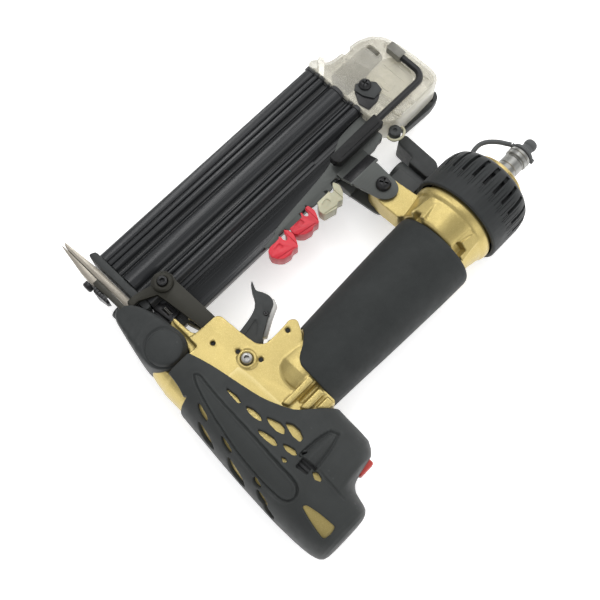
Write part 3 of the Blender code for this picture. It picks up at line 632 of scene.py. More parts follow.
# ============================================================ rubber cover
SECTIONS = [  # y, left, right, top, bottom
    (-101.0, -20.2, 30, 21.8, -23.5), (-103.5, -20.4, 32, 22.4, -24.5), (-112, -20.9, 36, 23.6, -26.5), (-124, -22.0, 41, 25.0, -28.6),
    (-140, -23.4, 46, 26.2, -29.6), (-160, -25.1, 46.5, 27.0, -30.0), (-172, -25.9, 43.8, 27.2, -30.0), (-184, -26.5, 41.2, 27.3, -30.0),
    (-192, -26.9, 40.8, 27.4, -30.0), (-200, -27.2, 40.6, 27.3, -30.0), (-207, -27.1, 40.0, 27.1, -30.0), (-212, -27.0, 37.0, 26.9, -30.0),
    (-214.2, -26.95, 34.0, 26.7, -30.0), (-215.2, -26.9, 28.0, 26.6, -30.0), (-216.2, -26.8, 22.0, 26.5, -29.9), (-217.6, -26.7, 17.9, 26.3, -29.8), (-219.4, -26.6, 15.8, 26.1, -29.6), (-221.5, -26.4, 14.4, 25.8, -29.2),
    (-225, -26.0, 13.4, 25.0, -28.3), (-228.5, -25.2, 12.6, 24.0, -27.0), (-231, -24.2, 11.6, 22.6, -25.4), (-232.8, -22.6, 9.6, 20.4, -23.2),
    (-233.7, -20.0, 7.2, 17.4, -20.2), (-234.0, -16.4, 4.2, 13.6, -16.2)]
EXPO = 2.55
XC = -2.0


def section(y):
    s = SECTIONS
    if y >= s[0][0]:
        return s[0][1:]
    if y <= s[-1][0]:
        return s[-1][1:]
    for i in range(len(s) - 1):
        if s[i + 1][0] <= y <= s[i][0]:
            t = (y - s[i][0]) / (s[i + 1][0] - s[i][0])
            return [s[i][k] + t * (s[i + 1][k] - s[i][k]) for k in range(1, 5)]


def cover_pt(y, a, off=0.0):
    """Point on the cover's skin at y and angle a round it (0 towards the handle, pi/2 up), moved out by off."""
    left, rt, top, bottom = section(y)

    def raw(a):
        c, s = math.cos(a), math.sin(a)
        e = 2 / EXPO
        return Vector((XC + ((rt - XC) if c > 0 else (XC - left)) * math.copysign(abs(c) ** e, c),
                       (top if s > 0 else -bottom) * math.copysign(abs(s) ** e, s)))
    p = raw(a)
    if off:
        t = raw(a + 0.01) - raw(a - 0.01)
        n = Vector((t.y, -t.x)).normalized()
        p = p + n * off
    return Vector((p.x, y, p.y))


def angle_at(x, y):
    """The angle on the upper side where the skin is at x."""
    left, rt, _, _ = section(y)
    if x > XC:
        return math.acos(min(1, ((x - XC) / (rt - XC)) ** (EXPO / 2)))
    return math.pi - math.acos(min(1, ((XC - x) / (XC - left)) ** (EXPO / 2)))


def skin_patch_cutter(outline, lo, hi, grow=0.0):
    """A plug through the skin with the given outline of (x, y) or (angle, y) points, flared by grow at its top."""
    n = len(outline)
    cx = sum(p[0] for p in outline) / n
    cy = sum(p[1] for p in outline) / n
    loops = []
    for off, g in ((lo, 0.0), (-0.6, 0.0), (hi, grow)):
        loop = []
        for a, y in outline:
            q = cover_pt(y, a, off)
            c = cover_pt(cy, cx, off)
            d = (q - c)
            loop.append(q + d.normalized() * g)
        loops.append(loop)
    return loft(loops)


def to_angles(points):
    return [(angle_at(x, y), y) for x, y in points]


LEAVES = [
    [(3.7, -132.0), (4.3, -136.5), (4.9, -141.4), (3.5, -146.6), (2.0, -144.4), (2.5, -139.5), (2.8, -135.5)],
    [(4.0, -148.4), (5.9, -152.6), (6.2, -157.6), (4.2, -161.6), (2.5, -157.4), (2.3, -152.6)],
    [(7.3, -160.2), (9.4, -164.4), (11.0, -168.2), (10.6, -172.0), (7.2, -174.4), (5.4, -170.2), (5.6, -165.0)],
    [(12.2, -169.8), (15.2, -173.6), (15.6, -179.0), (13.4, -182.9), (10.2, -182.9), (9.5, -178.2), (10.6, -174.0)],
    [(-0.6, -161.6), (1.4, -165.6), (2.7, -171.6), (0.9, -176.4), (-1.1, -174.2), (-1.8, -169.0), (-1.7, -165.0)],
    [(3.2, -176.6), (5.0, -179.6), (6.1, -183.6), (4.4, -187.6), (2.4, -185.0), (1.7, -181.0)],
    [(-2.2, -180.9), (-0.8, -183.5), (-1.9, -186.0), (-3.7, -184.2)],
    [(3.4, -198.2), (5.8, -200.4), (5.2, -204.2), (2.8, -205.3), (1.3, -202.0)],
]
SIDE_LEAVES = [  # angle, y
    [(2.00, -129.0), (2.03, -133.2), (2.12, -138.4), (2.26, -138.6), (2.22, -133.8), (2.12, -130.2)],
    [(2.44, -135.0), (2.46, -139.6), (2.58, -146.4), (2.80, -150.8), (2.90, -145.2), (2.74, -139.0)],
    [(2.16, -150.2), (2.16, -154.4), (2.24, -159.8), (2.36, -159.6), (2.32, -154.0)],
    [(2.50, -160.0), (2.52, -164.6), (2.68, -173.6), (2.92, -176.4), (3.0, -171.2), (2.86, -164.6)],
    [(2.26, -177.8), (2.26, -181.2), (2.34, -184.6), (2.44, -182.2), (2.40, -178.8)],
    [(2.50, -183.0), (2.50, -187.4), (2.60, -192.4), (2.76, -191.4), (2.70, -186.2)],
    [(2.70, -190.0), (2.72, -194.4), (2.84, -199.4), (3.02, -198.4), (2.98, -193.6)],
]


def slim(points, k):
    """The outline drawn in towards its long axis."""
    n = len(points)
    cx, cy = sum(p[0] for p in points) / n, sum(p[1] for p in points) / n
    a = max(((p, q) for p in points for q in points), key=lambda pq: (pq[0][0] - pq[1][0]) ** 2 + (pq[0][1] - pq[1][1]) ** 2)
    d = Vector((a[1][0] - a[0][0], a[1][1] - a[0][1])).normalized()
    out = []
    for x, y in points:
        v = Vector((x - cx, y - cy))
        along = v.dot(d)
        out.append(tuple(Vector((cx, cy)) + d * along + (v - d * along) * k))
    return out


TRIANGLE = [(-12.9, -206.6), (-10.6, -208.2), (-9.0, -216.0), (-8.0, -226.4), (-12.6, -227.2), (-17.2, -226.2), (-15.6, -216.0)]
PANEL = [(-3.9, -117.0), (-2.6, -116.5), (-1.5, -119.0), (-2.2, -126.0), (-3.3, -137.0), (-4.0, -150.2), (-4.7, -163.5), (-5.5, -176.6), (-6.1, -187.1),
         (-6.5, -194.6), (-8.2, -199.0), (-11.4, -201.0), (-14.9, -200.6), (-17.2, -197.6), (-17.9, -192.0), (-18.0, -184.0), (-17.4, -173.5),
         (-16.2, -162.3), (-14.3, -151.7), (-11.9, -140.3), (-9.2, -130.0), (-6.6, -122.0)]

ys = []
y = -101.0
while y > -214:
    ys.append(y)
    y -= 2.0
ys += [-214, -215.2, -216.2, -217.2, -218, -218.8, -220, -221.5, -223.2, -225, -226.8, -228.5, -229.8, -231, -232, -232.8, -233.3, -233.7, -233.9, -234.0]
AROUND = 112
cover = to_object("body_cover_rubber", loft([[tuple(cover_pt(yy, 2 * math.pi * (k + 0.5) / AROUND)) for k in range(AROUND)] for yy in ys]))

# what the cover leaves bare: the gold face by the trigger and the strip beside the barrel
EDGE = spline([(2.2, -103.0), (4.0, -107), (7.4, -120.4), (10.4, -137.2), (13, -150), (16, -158.6), (19.7, -166.4), (23, -170.6), (27.6, -174.2),
               (32.2, -177.8), (38, -181.9), (43.6, -184.8), (60, -190)], 5)
boolean(cover, "DIFFERENCE",
        prism(EDGE + [(90, -190), (90, -60), (2.2, -60)], -60, 60),
        prism(spline([(-60, -121.9), (-17.6, -121.9), (-15.0, -118.8), (-13.0, -112.4), (-12.0, -104.8), (-11.6, -98)], 4) + [(-60, -98)], -60, 60),
        prism([(-60, -104.6), (60, -104.6), (60, -60), (-60, -60)], -60, 60))
# raised hood with its square pocket
HOOD_Y = -193.4
hood = []
for t in range(13):
    u = t / 12
    x = 5.2 + 23.0 * u
    w = 4.9 * (1 - 0.86 * u ** 1.7) * (1 - 0.12 * math.cos(u * 3)) + 0.1
    h = 3.6 * (1 - u ** 2.6) + 0.05
    zc = cover_pt(HOOD_Y, angle_at(x, HOOD_Y)).z
    loop = []
    for k in range(20):
        b = 2 * math.pi * k / 20
        cs, sn = math.cos(b), math.sin(b)
        loop.append((x, HOOD_Y + 0.035 * (x - 5) + w * math.copysign(abs(cs) ** 1.15, cs), zc - 1.2 + (h + 1.2) * (abs(sn) ** 1.25 if sn > 0 else 0.9 * sn)))
    hood.append(loop)
join(cover, loft(hood))
cut(cover,
    turned([(0, -226.6), (10.6, -226.6), (11.2, -216.4), (21.2, -213.6), (21.2, -136), (20.6, -122.1), (20.6, -90), (0, -90)], "y", (0, 0), 48, closed=False),
    box(-10.3, 60, -180.9, -90, -16.8, 16.8),
    rod("x", (HANDLE_Y := -155.5, 0), 20.3, 2, 90, 40),
    box(-8, 32.5, -206.5, -180, -14, 14),
    box(20.6, 60, -218.5, -203.0, -5.6, 5.6),
    rod("z", (23.9, -128.9), 6.2, -40, -10, 20),
    # the pocket under the hood
    prism(rounded([(-0.8, -190.2), (5.6, -189.6), (6.6, -197.0), (0.4, -197.6)], 0.6, 2), 20.6, 40),
    prism(rounded([(4.6, -196.0), (6.8, -196.0), (6.4, -199.4), (4.6, -199.2)], 0.4, 1), 21.6, 40),
    prism(rounded([(6.8, -187.2), (9.8, -189.6), (8.8, -190.4), (6.0, -188.8)], 0.4, 1), 22.5, 40))
for pts in LEAVES:
    cut(cover, skin_patch_cutter(to_angles(rounded(slim(pts, 0.84), 0.35, 2)), -4.4, 1.2, 0.15))
for pts in SIDE_LEAVES:
    cut(cover, skin_patch_cutter(spline(pts, 3, closed=True), -4.4, 1.2, 0.15))
cut(cover, skin_patch_cutter(to_angles(rounded(TRIANGLE, 1.2, 2)), -3.4, 1.2, 0.2))
remesh(cover, 0.45, 2, 0.4)


def press_lines(ob, lines, zmin):
    """Press grooves into the upper skin along lines of (x, y, width, depth); a negative depth raises a bead."""
    bm = bmesh.new()
    bm.from_mesh(ob.data)
    bm.normal_update()
    segs = []
    for pts in lines:
        for p, q in zip(pts[:-1], pts[1:]):
            segs.append((Vector(p[:2]), Vector(q[:2]), p[2], q[2], p[3], q[3]))
    cells = {}
    for s_ in segs:
        lo_x, hi_x = sorted((s_[0].x, s_[1].x))
        lo_y, hi_y = sorted((s_[0].y, s_[1].y))
        for i in range(int((lo_x - 4) // 4), int((hi_x + 4) // 4) + 1):
            for j in range(int((lo_y - 4) // 4), int((hi_y + 4) // 4) + 1):
                cells.setdefault((i, j), []).append(s_)
    moves = []
    for v in bm.verts:
        tx, ty, tz = v.co.x * 1000 - OX, v.co.y * 1000 - OY, v.co.z * 1000 - OZ
        if tz < zmin or v.normal.z < 0.12:
            continue
        best = 0.0
        for p, q, w0, w1, d0, d1 in cells.get((int(tx // 4), int(ty // 4)), ()):
            e = q - p
            t = max(0.0, min(1.0, (Vector((tx, ty)) - p).dot(e) / max(e.length_squared, 1e-9)))
            dist = (p + e * t - Vector((tx, ty))).length
            w, d = w0 + t * (w1 - w0), d0 + t * (d1 - d0)
            val = d * math.exp(-(dist / w) ** 4) - 0.20 * d * math.exp(-((dist - 2.2 * w) / w) ** 2)
            if abs(val) > abs(best):
                best = val
        if best:
            moves.append((v, v.normal * (-best / 1000)))
    for v, m_ in moves:
        v.co += m_
    bm.to_mesh(ob.data)
    bm.free()


panel_line = []
for x_, y_ in spline(PANEL, 5, closed=True):
    butt = max(0.0, min(1.0, (-140 - y_) / 50))
    right = 1.0 if x_ > -12 else 0.4
    panel_line.append((x_, y_, 0.46 + 0.22 * butt * right, 1.05 + 0.45 * butt * right))
panel_line.append(panel_line[0])
hood_line = []
for t in range(25):
    u = abs(t - 12) / 12
    x_ = 5.2 + 23.0 * (1 - u)
    w = (4.9 * (1 - 0.86 * (1 - u) ** 1.7) * (1 - 0.12 * math.cos((1 - u) * 3)) + 0.9) * (1 if t < 12 else -1)
    hood_line.append((x_, HOOD_Y + 0.035 * (x_ - 5) + w, 0.75, 0.8 if t > 12 else 1.3))
press_lines(cover, [panel_line, hood_line, [(6.5, -200.6, 0.5, 0.2), (6.0, -206, 0.6, 0.6), (5.5, -213, 0.6, 0.6), (5.2, -220, 0.5, 0.2)]], 4)
finish_piece(cover, RUBBER, "body", ["body_cover"], smooth=0)

# gold shell seen through the openings
def shell(name, y0, y1, a0, a1, depth, cuts=()):
    rows_o, rows_i = [], []
    ny, na = max(2, int(abs(y1 - y0) / 2.5)), max(3, int((a1 - a0) / 0.06))
    bm = bmesh.new()
    grid = []
    for i in range(ny + 1):
        yy = y0 + (y1 - y0) * i / ny
        grid.append([[bm.verts.new(cover_pt(yy, a0 + (a1 - a0) * j / na, -d)) for j in range(na + 1)] for d in (depth, depth + 0.9)])
    def quad(a, b, c, d):
        bm.faces.new((a, b, c, d))
    for i in range(ny):
        for j in range(na):
            for s in (0, 1):
                quad(grid[i][s][j], grid[i][s][j + 1], grid[i + 1][s][j + 1], grid[i + 1][s][j])
        for j in (0, na):
            quad(grid[i][0][j], grid[i + 1][0][j], grid[i + 1][1][j], grid[i][1][j])
    for i in (0, ny):
        for j in range(na):
            quad(grid[i][0][j], grid[i][0][j + 1], grid[i][1][j + 1], grid[i][1][j])
    bmesh.ops.recalc_face_normals(bm, faces=bm.faces)
    return piece(name, bm, GOLD, "body", cuts=cuts, smooth=40)


shell("inner_shell_right", -129.5, -205.8, 1.22, 1.68, 2.9, cuts=[box(-3.0, 10.4, -199.0, -186.6, 10, 40)])
shell("inner_shell_left", -127.5, -200.5, 1.94, 3.08, 2.1)
shell("inner_shell_butt", -205.6, -227.6, 1.70, 2.28, 1.5)
# dark blocks in the pocket
piece("pocket_block", box(-2.2, 7.8, -199.0, -188.2, 21.6, 23.2), BLACK_PLASTIC, "body", soft=0.2,
      cuts=[box(1.0, 1.9, -198, -189, 22.2, 30), box(3.6, 4.4, -198, -189, 22.2, 30)])

# =============================================================== nose cover
NOSE_OUT = spline([(-7.4, -54.6), (-11.0, -58.6), (-13.6, -68.5), (-16.2, -80.6), (-17.3, -88.6), (-16.6, -95.0), (-13.4, -100.4),
                   (-8.6, -103.8), (-2.4, -104.4), (3.8, -102.4), (8.2, -97.4), (9.4, -91.6), (8.4, -82.5), (6.6, -72.3), (3.6, -62.8), (0.2, -57.0), (-3.8, -54.0)], 4, closed=True)
ncx, ncy = -3.8, -84.0
nloops = []
for zz, inset in ((-20.5, 4.2), (-20.0, 2.4), (-18.8, 1.2), (-16.6, 0.4), (-13, 0), (13, 0), (16.6, 0.4), (18.8, 1.2), (20.0, 2.4), (20.5, 4.2)):
    loop = []
    for x, y_ in NOSE_OUT:
        d = Vector((x - ncx, y_ - ncy))
        k = max(0.0, 1 - inset / d.length)
        # the top falls away towards the tip of the nose
        drop = max(0.0, (y_ + 92) / 38) ** 1.5 * 5.2 if zz > 0 else 0.0
        loop.append((ncx + d.x * k, ncy + d.y * k, zz - drop * (max(0.0, zz) / 20.5)))
    nloops.append(loop)
nose_cover = to_object("nose_cover_rubber", loft(nloops))
join(nose_cover, turned([(0, 10), (10.7, 10), (10.7, 19.8), (9.9, 21.2), (8.0, 21.9), (5.0, 22.5), (0, 22.8)], "z", (-3.4, -92.6), 40, closed=False))
cut(nose_cover, box(-6.3, 30, -120, -40, -6.3, 6.3), box(-5.6, 16, -72, -40, 5.8, 14.7), box(4.0, 30, -68.5, -40, -10, 10),
    rod("y", (-3.5, -11.2), 6.8, -60, -40, 24), box(-12.5, 4.6, -57.1, -39, -6.7, 6.8))
remesh(nose_cover, 0.5, 8, 0.5)
# crescent creases between the body and the disc, and the flow marks on the upper part
bm = bmesh.new()
bm.from_mesh(nose_cover.data)
C0 = P(-3.4, -92.6, 0)
for v in bm.verts:
    p = v.co
    if (p.z * 1000 - OZ) < 13 or v.normal.z < 0.35:
        continue
    r = math.hypot(p.x - C0.x, p.y - C0.y) * 1000
    th = math.atan2(p.y - C0.y, p.x - C0.x)
    d = 0.0
    for rr, w, amp in ((11.6, 0.6, -0.85), (16.5, 1.1, 0.28), (22.0, 1.3, 0.25), (27.0, 1.2, 0.18)):
        d += amp * math.exp(-((r - rr) / w) ** 2) * (1 if rr < 12 else max(0.0, math.cos(th - math.radians(100))))
    v.co += v.normal * (d / 1000)
bm.to_mesh(nose_cover.data)
bm.free()
finish_piece(nose_cover, NOSE_RUBBER, "body", ["nose_cover"], smooth=0)

# ================================================================== housing
HY, CAPY = -155.5, -153.6
WEB = [(-10, -104.3), (9.8, -104.3), (10.2, -98), (10.3, -84.6), (11.4, -82.4), (12.6, -83.6), (12.9, -95),
       (15.0, -98.4), (29.6, -98.4), (31.6, -101), (32.6, -116), (33.9, -126.2), (38, -130.2),
       (47, -130.2), (57.2, -129.4), (60, -132.6), (55.5, -141), (43, -150), (41, -153),
       (41.5, -180.7), (-10, -180.7)]
housing = to_object("housing_casting", prism(rounded(WEB, 2.6, 4), -16.3, 16.3))
join(housing,
     turned([(0, -104.3), (19.0, -104.3), (19.7, -105.0), (20.4, -107), (20.5, -122), (21.5, -136), (21.5, -216), (0, -216)], "y", (0, 0), 56, closed=False),
     # handle tube with its conical root
     turned([(0, 26), (9.0, 26), (13.5, 27.6), (17.4, 30.4), (19.8, 34.4), (20.6, 38.6), (20.3, 46), (19.8, 52), (19.8, 168), (0, 168)], "x", (HY, 0), 56, closed=False),
     # finger wall by the nose cover
     loft([[(r_ * math.cos(a_), y_, r_ * math.sin(a_)) for a_ in [math.radians(128 + 8 * k) for k in range(14)]] + [((r_ - 5) * math.cos(a_), y_, (r_ - 5) * math.sin(a_)) for a_ in [math.radians(232 - 8 * k) for k in range(14)]]
           for y_, r_ in ((-93.5, 17.0), (-95.5, 18.2), (-99, 19.0), (-103, 19.6), (-108, 20.2))]),
     # raised pad of the butt half of the face
     loft([[(x_, y_, z_) for x_, z_ in ((9.75, 7.4), (9.75, 19.62), (12.1, 19.02), (16.1, 17.82), (20.1, 16.72), (23.7, 16.05), (23.7, 7.4))] for y_ in (-98.15, -105.9)]),
     loft([[(x_, y_, z_) for x_, z_ in ((2, 8), (2, 20.8), (7, 20.3), (12, 19.1 + 0.6 * w_), (16, 17.9 + 1.2 * w_), (20 + 2 * w_, 16.8 + 1.4 * w_), (24 + 3 * w_, 16.1 + 0.3 * w_), (24 + 3 * w_, 8))]
           for y_, w_ in ((-104.7, 0), (-140, 0), (-146, 0.2), (-152, 0.6), (-158, 0.9), (-164, 1.0), (-176, 1.0))]),
     # lengthwise ribs under the handle root
     prism(rounded([(19.5, -160.6), (40.4, -160.6), (40.4, -164.2), (20.8, -164.2)], 0.8, 2), 8, 20.6),
     prism(rounded([(24.5, -169.2), (39.9, -169.2), (39.7, -173.2), (27.0, -173.2)], 0.8, 2), 6, 19.4),
     prism(rounded([(30.5, -175.4), (39.6, -175.4), (39.5, -180.4), (35.5, -180.4)], 0.8, 2), 6, 18.2),
     rod("z", (23.9, -128.9), 5.6, 12, 17.6, 40, 0.5),
     prism(rounded([(8.0, -84.0), (10.6, -82.0), (12.7, -85.5), (13.6, -96.0), (16.6, -99.4), (15.4, -105.6), (2.4, -105.6), (4.6, -103.2), (7.6, -96.6)], 1.0, 3), -6, 14.5),
     rod("z", (23.9, -128.9), 5.5, -18.0, -12, 32),
     # boss of the pin by the grip
     prism(rounded([(45.4, -130.8), (57.0, -130.2), (58.6, -133.0), (55.0, -139.5), (46.0, -139.2)], 2.2, 3), 8, 15.9),
     # neck flare and lug
     turned([(0, 150.4), (23.4, 150.4), (23.9, 154), (25.1, 161), (25.8, 165.6), (26.8, 166.8), (27.3, 168.4), (27.3, 171.4), (26.7, 172.6), (24.4, 172.8), (24.4, 180), (0, 180)],
            "x", (CAPY, 0), 64, closed=False),
     prism(rounded([(150.6, -142), (150.6, -131.4), (147.6, -129.6), (147.2, -117.5), (148.8, -106), (154, -101.2),
                    (160, -101.6), (163.4, -106), (166.2, -129), (169, -142)], 2.2, 3), -8, 8))
# facets of the neck
for sgn, ang in ((1, 46), (1, -34)):
    w = 5.5
    facet = prism([(151.0, -w), (166.4, -w * 0.55), (166.4, w * 0.55), (151.0, w)], 14, 25.9)
    bmesh.ops.rotate(facet, cent=(0, 0, 0), matrix=Matrix.Rotation(math.radians(ang), 3, "X"), verts=facet.verts)
    bmesh.ops.translate(facet, vec=(0, CAPY, 0), verts=facet.verts)
    join(housing, facet)
panel_n = []
for x0, r0 in ((151.5, 24.0), (165.6, 26.35)):
    panel_n.append([(x0, CAPY + r0 * math.sin(math.radians(-b)), r0 * math.cos(math.radians(b))) for b in range(-40, 31, 5)] +
                   [(x0, CAPY + 17 * math.sin(math.radians(-b)), 17 * math.cos(math.radians(b))) for b in range(30, -41, -5)])
join(housing, loft(panel_n))
cut(housing,
    rod("y", (0, 0), 18.3, -222, -112, 40),
    rod("y", (0, 0), 2.6, -114, -100, 12),
    rod("x", (HY, 0), 16.0, 26, 190, 36),
    prism(rounded([(17.2, -106.5), (46, -106.5), (46, -129.4), (36, -129.4), (33, -127.9), (17.2, -127.9)], 1.5, 2), -5.6, 5.6),
    box(15.4, 30.9, -116.5, -90, 11.0, 14.5),
    rod("y", (42.8, 0), 5.8, -160, -120, 24),
    rod("z", (23.6, -122.1), 1.45, -30, 30, 20),
    rod("z", (17.1, -109.0), 1.5, -30, 30, 20),
    rod("z", (29.3, -134.4), 1.45, -30, 30, 20),
    rod("z", (51.6, -133.2), 1.5, -30, 30, 20),
    rod("z", (23.9, -128.9), 3.7, 15.2, 30, 32),
    rod("z", (156.2, -109.7), 2.5, -30, 30, 20),
    # shallow dark ends over the pins
    rod("z", (17.1, -109.0), 1.5, 15.4, 30, 20),
    # dark groove between the ribs
    prism(rounded([(26.0, -165.4), (46, -165.4), (46, -168.4), (28.5, -168.4)], 0.6, 2), 13.6, 30))
for ang, pw, px in ((42, 3.6, 156.4), (-36, 2.8, 153.6)):  # pockets by the grip's end
    pk = box(149.0, px, -pw, pw, 20.0, 40)
    bmesh.ops.rotate(pk, cent=(0, 0, 0), matrix=Matrix.Rotation(math.radians(ang), 3, "X"), verts=pk.verts)
    bmesh.ops.translate(pk, vec=(0, CAPY, 0), verts=pk.verts)
    cut(housing, pk)
remesh(housing, 0.6, 2, 0.5)
finish_piece(housing, GOLD, "body", ["housing"], smooth=0)

piece("side_screw_head", turned([(0, 11.3), (1.9, 11.3), (1.9, 15.6), (3.2, 15.6), (3.3, 15.9), (3.3, 18.6), (2.9, 19.3), (2.5, 19.5), (0, 19.5)], "z", (23.9, -128.9), 36, closed=False),
      STEEL, "body", ["side_screw"], cuts=[prism([(23.9 + 1.7 * math.cos(math.pi * k / 3), -128.9 + 1.7 * math.sin(math.pi * k / 3)) for k in range(6)], 17.4, 22)], smooth=30)
upgrade("cylinder_cap", GOLD, 0.4, 2, cuts=[box(8.0, 40, -240, -214.6, -40, 40)])
# the valve spring gets its own copy of its mesh
valve_spring = upgrade("head_valve_spring", STEEL, 0, smooth=50)
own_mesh(valve_spring)
for n in ("trigger_pin", "arm_guide_pin", "housing_pin", "valve_pin"):
    paint(n, PIN_DARK)
paint("nose_body", BLACK_STEEL)
paint("valve_body", BLACK_PLASTIC)

# ===================================================================== grip
GR = [(40, 22.0, 21.6), (52, 22.4, 21.9), (66, 23.0, 22.3), (80, 23.7, 22.8), (96, 24.4, 23.1), (112, 25.0, 23.3), (128, 25.6, 23.4), (142, 25.9, 23.4), (147.6, 26.0, 23.4), (149.4, 25.6, 23.0), (150.2, 24.6, 22.0)]
gl = []
for i in range(len(GR) * 4 - 3):
    a, b = GR[i // 4], GR[min(i // 4 + 1, len(GR) - 1)]
    t = (i % 4) / 4
    gx, gy, gz = (a[k] + (b[k] - a[k]) * t for k in range(3))
    loop = []
    for k in range(72):
        an = 2 * math.pi * k / 72
        c, s = math.cos(an), math.sin(an)
        e = 2 / 2.15
        loop.append((gx, -157.4 + gy * math.copysign(abs(c) ** e, c), gz * math.copysign(abs(s) ** e, s)))
    gl.append(loop)
grip = to_object("grip_rubber", loft(gl))
front = spline([(72, -118), (66.6, -121.5), (61.8, -131.4), (57.6, -139.4), (51.0, -145.2), (44.6, -149.2), (41.6, -153.6), (41.2, -160), (41.4, -175), (41.8, -190)], 5)
cut(grip, prism(front + [(20, -190), (20, -118)], -40, 40), rod("x", (HY, 0), 20.3, 20, 170, 56))
remesh(grip, 0.6, 3, 0.5)
finish_piece(grip, GRIP, "body", ["grip_sleeve"], smooth=0)

# ================================================================== end cap
cap = to_object("end_cap_shell", turned(
    [(27.8, 172.9), (29.4, 172.9), (30.0, 173.6), (30.0, 194.4), (29.8, 196.6), (29.1, 200.4), (27.6, 203.8), (25.6, 205.8), (23.6, 206.6), (18.8, 206.6),
     (18.8, 203.4), (24, 203.0), (27.0, 199), (27.5, 195)], "x", (CAPY, 0), 96))
SLOTS = 24
for i in range(SLOTS):
    a = 2 * math.pi * (i + 0.2) / SLOTS
    slot_ = prism(rounded([(188.6, -1.2), (203.4, -1.2), (203.4, 1.2), (188.6, 1.2)], 0.3, 1), 26.2, 40)
    grooves = [box(182.4, 189.4, -1.35, -0.95, 29.5, 40), box(184.0, 207.0, 2.35, 2.75, 29.45, 40), box(184.0, 207.0, -2.75, -2.35, 29.45, 40), box(184.0, 188.2, -0.2, 0.2, 29.5, 40)]
    for c_ in [slot_] + grooves:
        bmesh.ops.rotate(c_, cent=(0, 0, 0), matrix=Matrix.Rotation(a, 3, "X"), verts=c_.verts)
        bmesh.ops.translate(c_, vec=(0, CAPY, 0), verts=c_.verts)
        cut(cap, c_)
apply(cap)
finish_piece(cap, CAP, "body", ["end_cap"], smooth=35)
upgrade("end_plate", GOLD_METAL, 0.3, 2)
paint("exhaust_filter", BLACK_PLASTIC)
piece("air_plug_turned", turned(
    [(3.0, 206.6), (6.4, 206.6), (6.7, 206.9), (6.7, 219.4), (6.5, 219.8), (6.5, 220.4), (6.8, 220.8), (6.8, 225.9), (6.4, 226.4), (6.2, 226.9), (6.4, 227.4),
     (7.2, 227.6), (7.5, 228.0), (7.5, 229.6), (7.1, 229.9), (7.1, 230.5), (7.5, 230.8), (7.5, 232.0), (7.2, 232.6), (5.6, 233.0), (3.6, 233.1), (3.35, 233.4), (3.35, 236.2), (3.1, 236.5), (2.4, 236.5), (2.4, 222), (3.0, 221)],
    "x", (CAPY, 0), 56), CHROME, "air_plug", ["air_plug"], smooth=30,
    cuts=[prism([(CAPY + s * 30, z) for s, z in ((-1, 6.35), (1, 6.35), (1, 20), (-1, 20))], 207.2, 211.2, "x"),
          prism([(CAPY + s * 30, z) for s, z in ((-1, -6.35), (1, -6.35), (1, -20), (-1, -20))], 207.2, 211.2, "x")])
piece("dust_cap_moulded", turned(
    [(3.6, 233.5), (6.9, 233.5), (7.4, 233.9), (7.5, 234.6), (7.3, 235.4), (6.6, 235.9), (5.0, 236.3), (4.5, 237.0), (4.2, 238.0), (3.7, 239.2), (3.6, 239.9), (4.0, 240.6), (4.2, 241.8), (4.0, 243.4), (3.3, 244.5), (2.0, 245), (0, 245),
     (0, 237.4), (3.6, 237.4)], "x", (CAPY, 0), 48), GREY_RUBBER, "dust_cap", ["dust_cap"], smooth=32,
    joins=[box(233.7, 235.6, -149.2, -145.2, -1.6, 1.6), box(233.7, 235.6, -162.0, -158.4, -1.6, 1.6)])
strap = spline([(208.6, -134.6, 0), (212.2, -132.3, 0), (216.3, -131.0, 0), (220.9, -131.0, 0), (224.8, -132.6, 0), (227.9, -135.2, 0), (230.8, -138.6, 0), (232.8, -141.9, 0), (234.6, -144.9, 0)], 6)
piece("strap_moulded", tube(strap, [1.5 if i > 3 else 1.9 for i in range(len(strap))], 14), GREY_RUBBER, "body", ["dust_cap_strap"], smooth=50)

# ================================================================= magazine
HALF = [(-20.6, 4.6), (-21.0, 5.8), (-21.8, 7.0), (-23.4, 7.8), (-26.6, 8.0), (-27.2, 7.6), (-27.4, 6.9), (-27.9, 6.9), (-28.2, 7.8), (-28.9, 8.4), (-30.2, 8.6), (-30.9, 8.2), (-31.1, 7.2), (-31.5, 7.2),
        (-31.8, 8.2), (-32.6, 9.0), (-33.8, 9.2), (-34.8, 8.6), (-35.4, 7.2), (-35.8, 6.0), (-38.3, 6.0), (-38.6, 7.6), (-38.9, 8.1), (-39.6, 8.1), (-39.9, 7.6), (-40.1, 7.0), (-40.9, 7.0),
        (-41.4, 8.0), (-42.4, 9.2), (-44.0, 10.1), (-46.0, 10.4), (-48.0, 10.2), (-50.0, 9.4), (-51.2, 8.4), (-51.8, 7.2), (-52.1, 6.2), (-54.9, 6.0), (-55.3, 7.2), (-55.7, 8.0), (-56.5, 8.1), (-56.9, 7.4),
        (-57.2, 7.3), (-57.4, 8.2), (-58.0, 8.9), (-59.0, 9.0), (-59.5, 8.4), (-59.7, 7.2), (-60.2, 7.1), (-60.5, 8.2), (-61.4, 9.2), (-62.8, 9.6), (-64.2, 9.2), (-65.3, 8.0), (-65.9, 6.4), (-66.6, 5.6), (-66.6, 3.2)]
outline = HALF + [(y_, -z_) for y_, z_ in reversed(HALF)]
mag = to_object("magazine_extrusion", prism(outline, 9.6, 182.5, "x"))
cut(mag, box(0, 200, -80, -24.5, -3.1, 3.1))
apply(mag)
clean(mag)
bevel(mag, 0.12, 1, 50)
apply(mag)
finish_piece(mag, ANODISED, "magazine", ["magazine_body"], smooth=38)

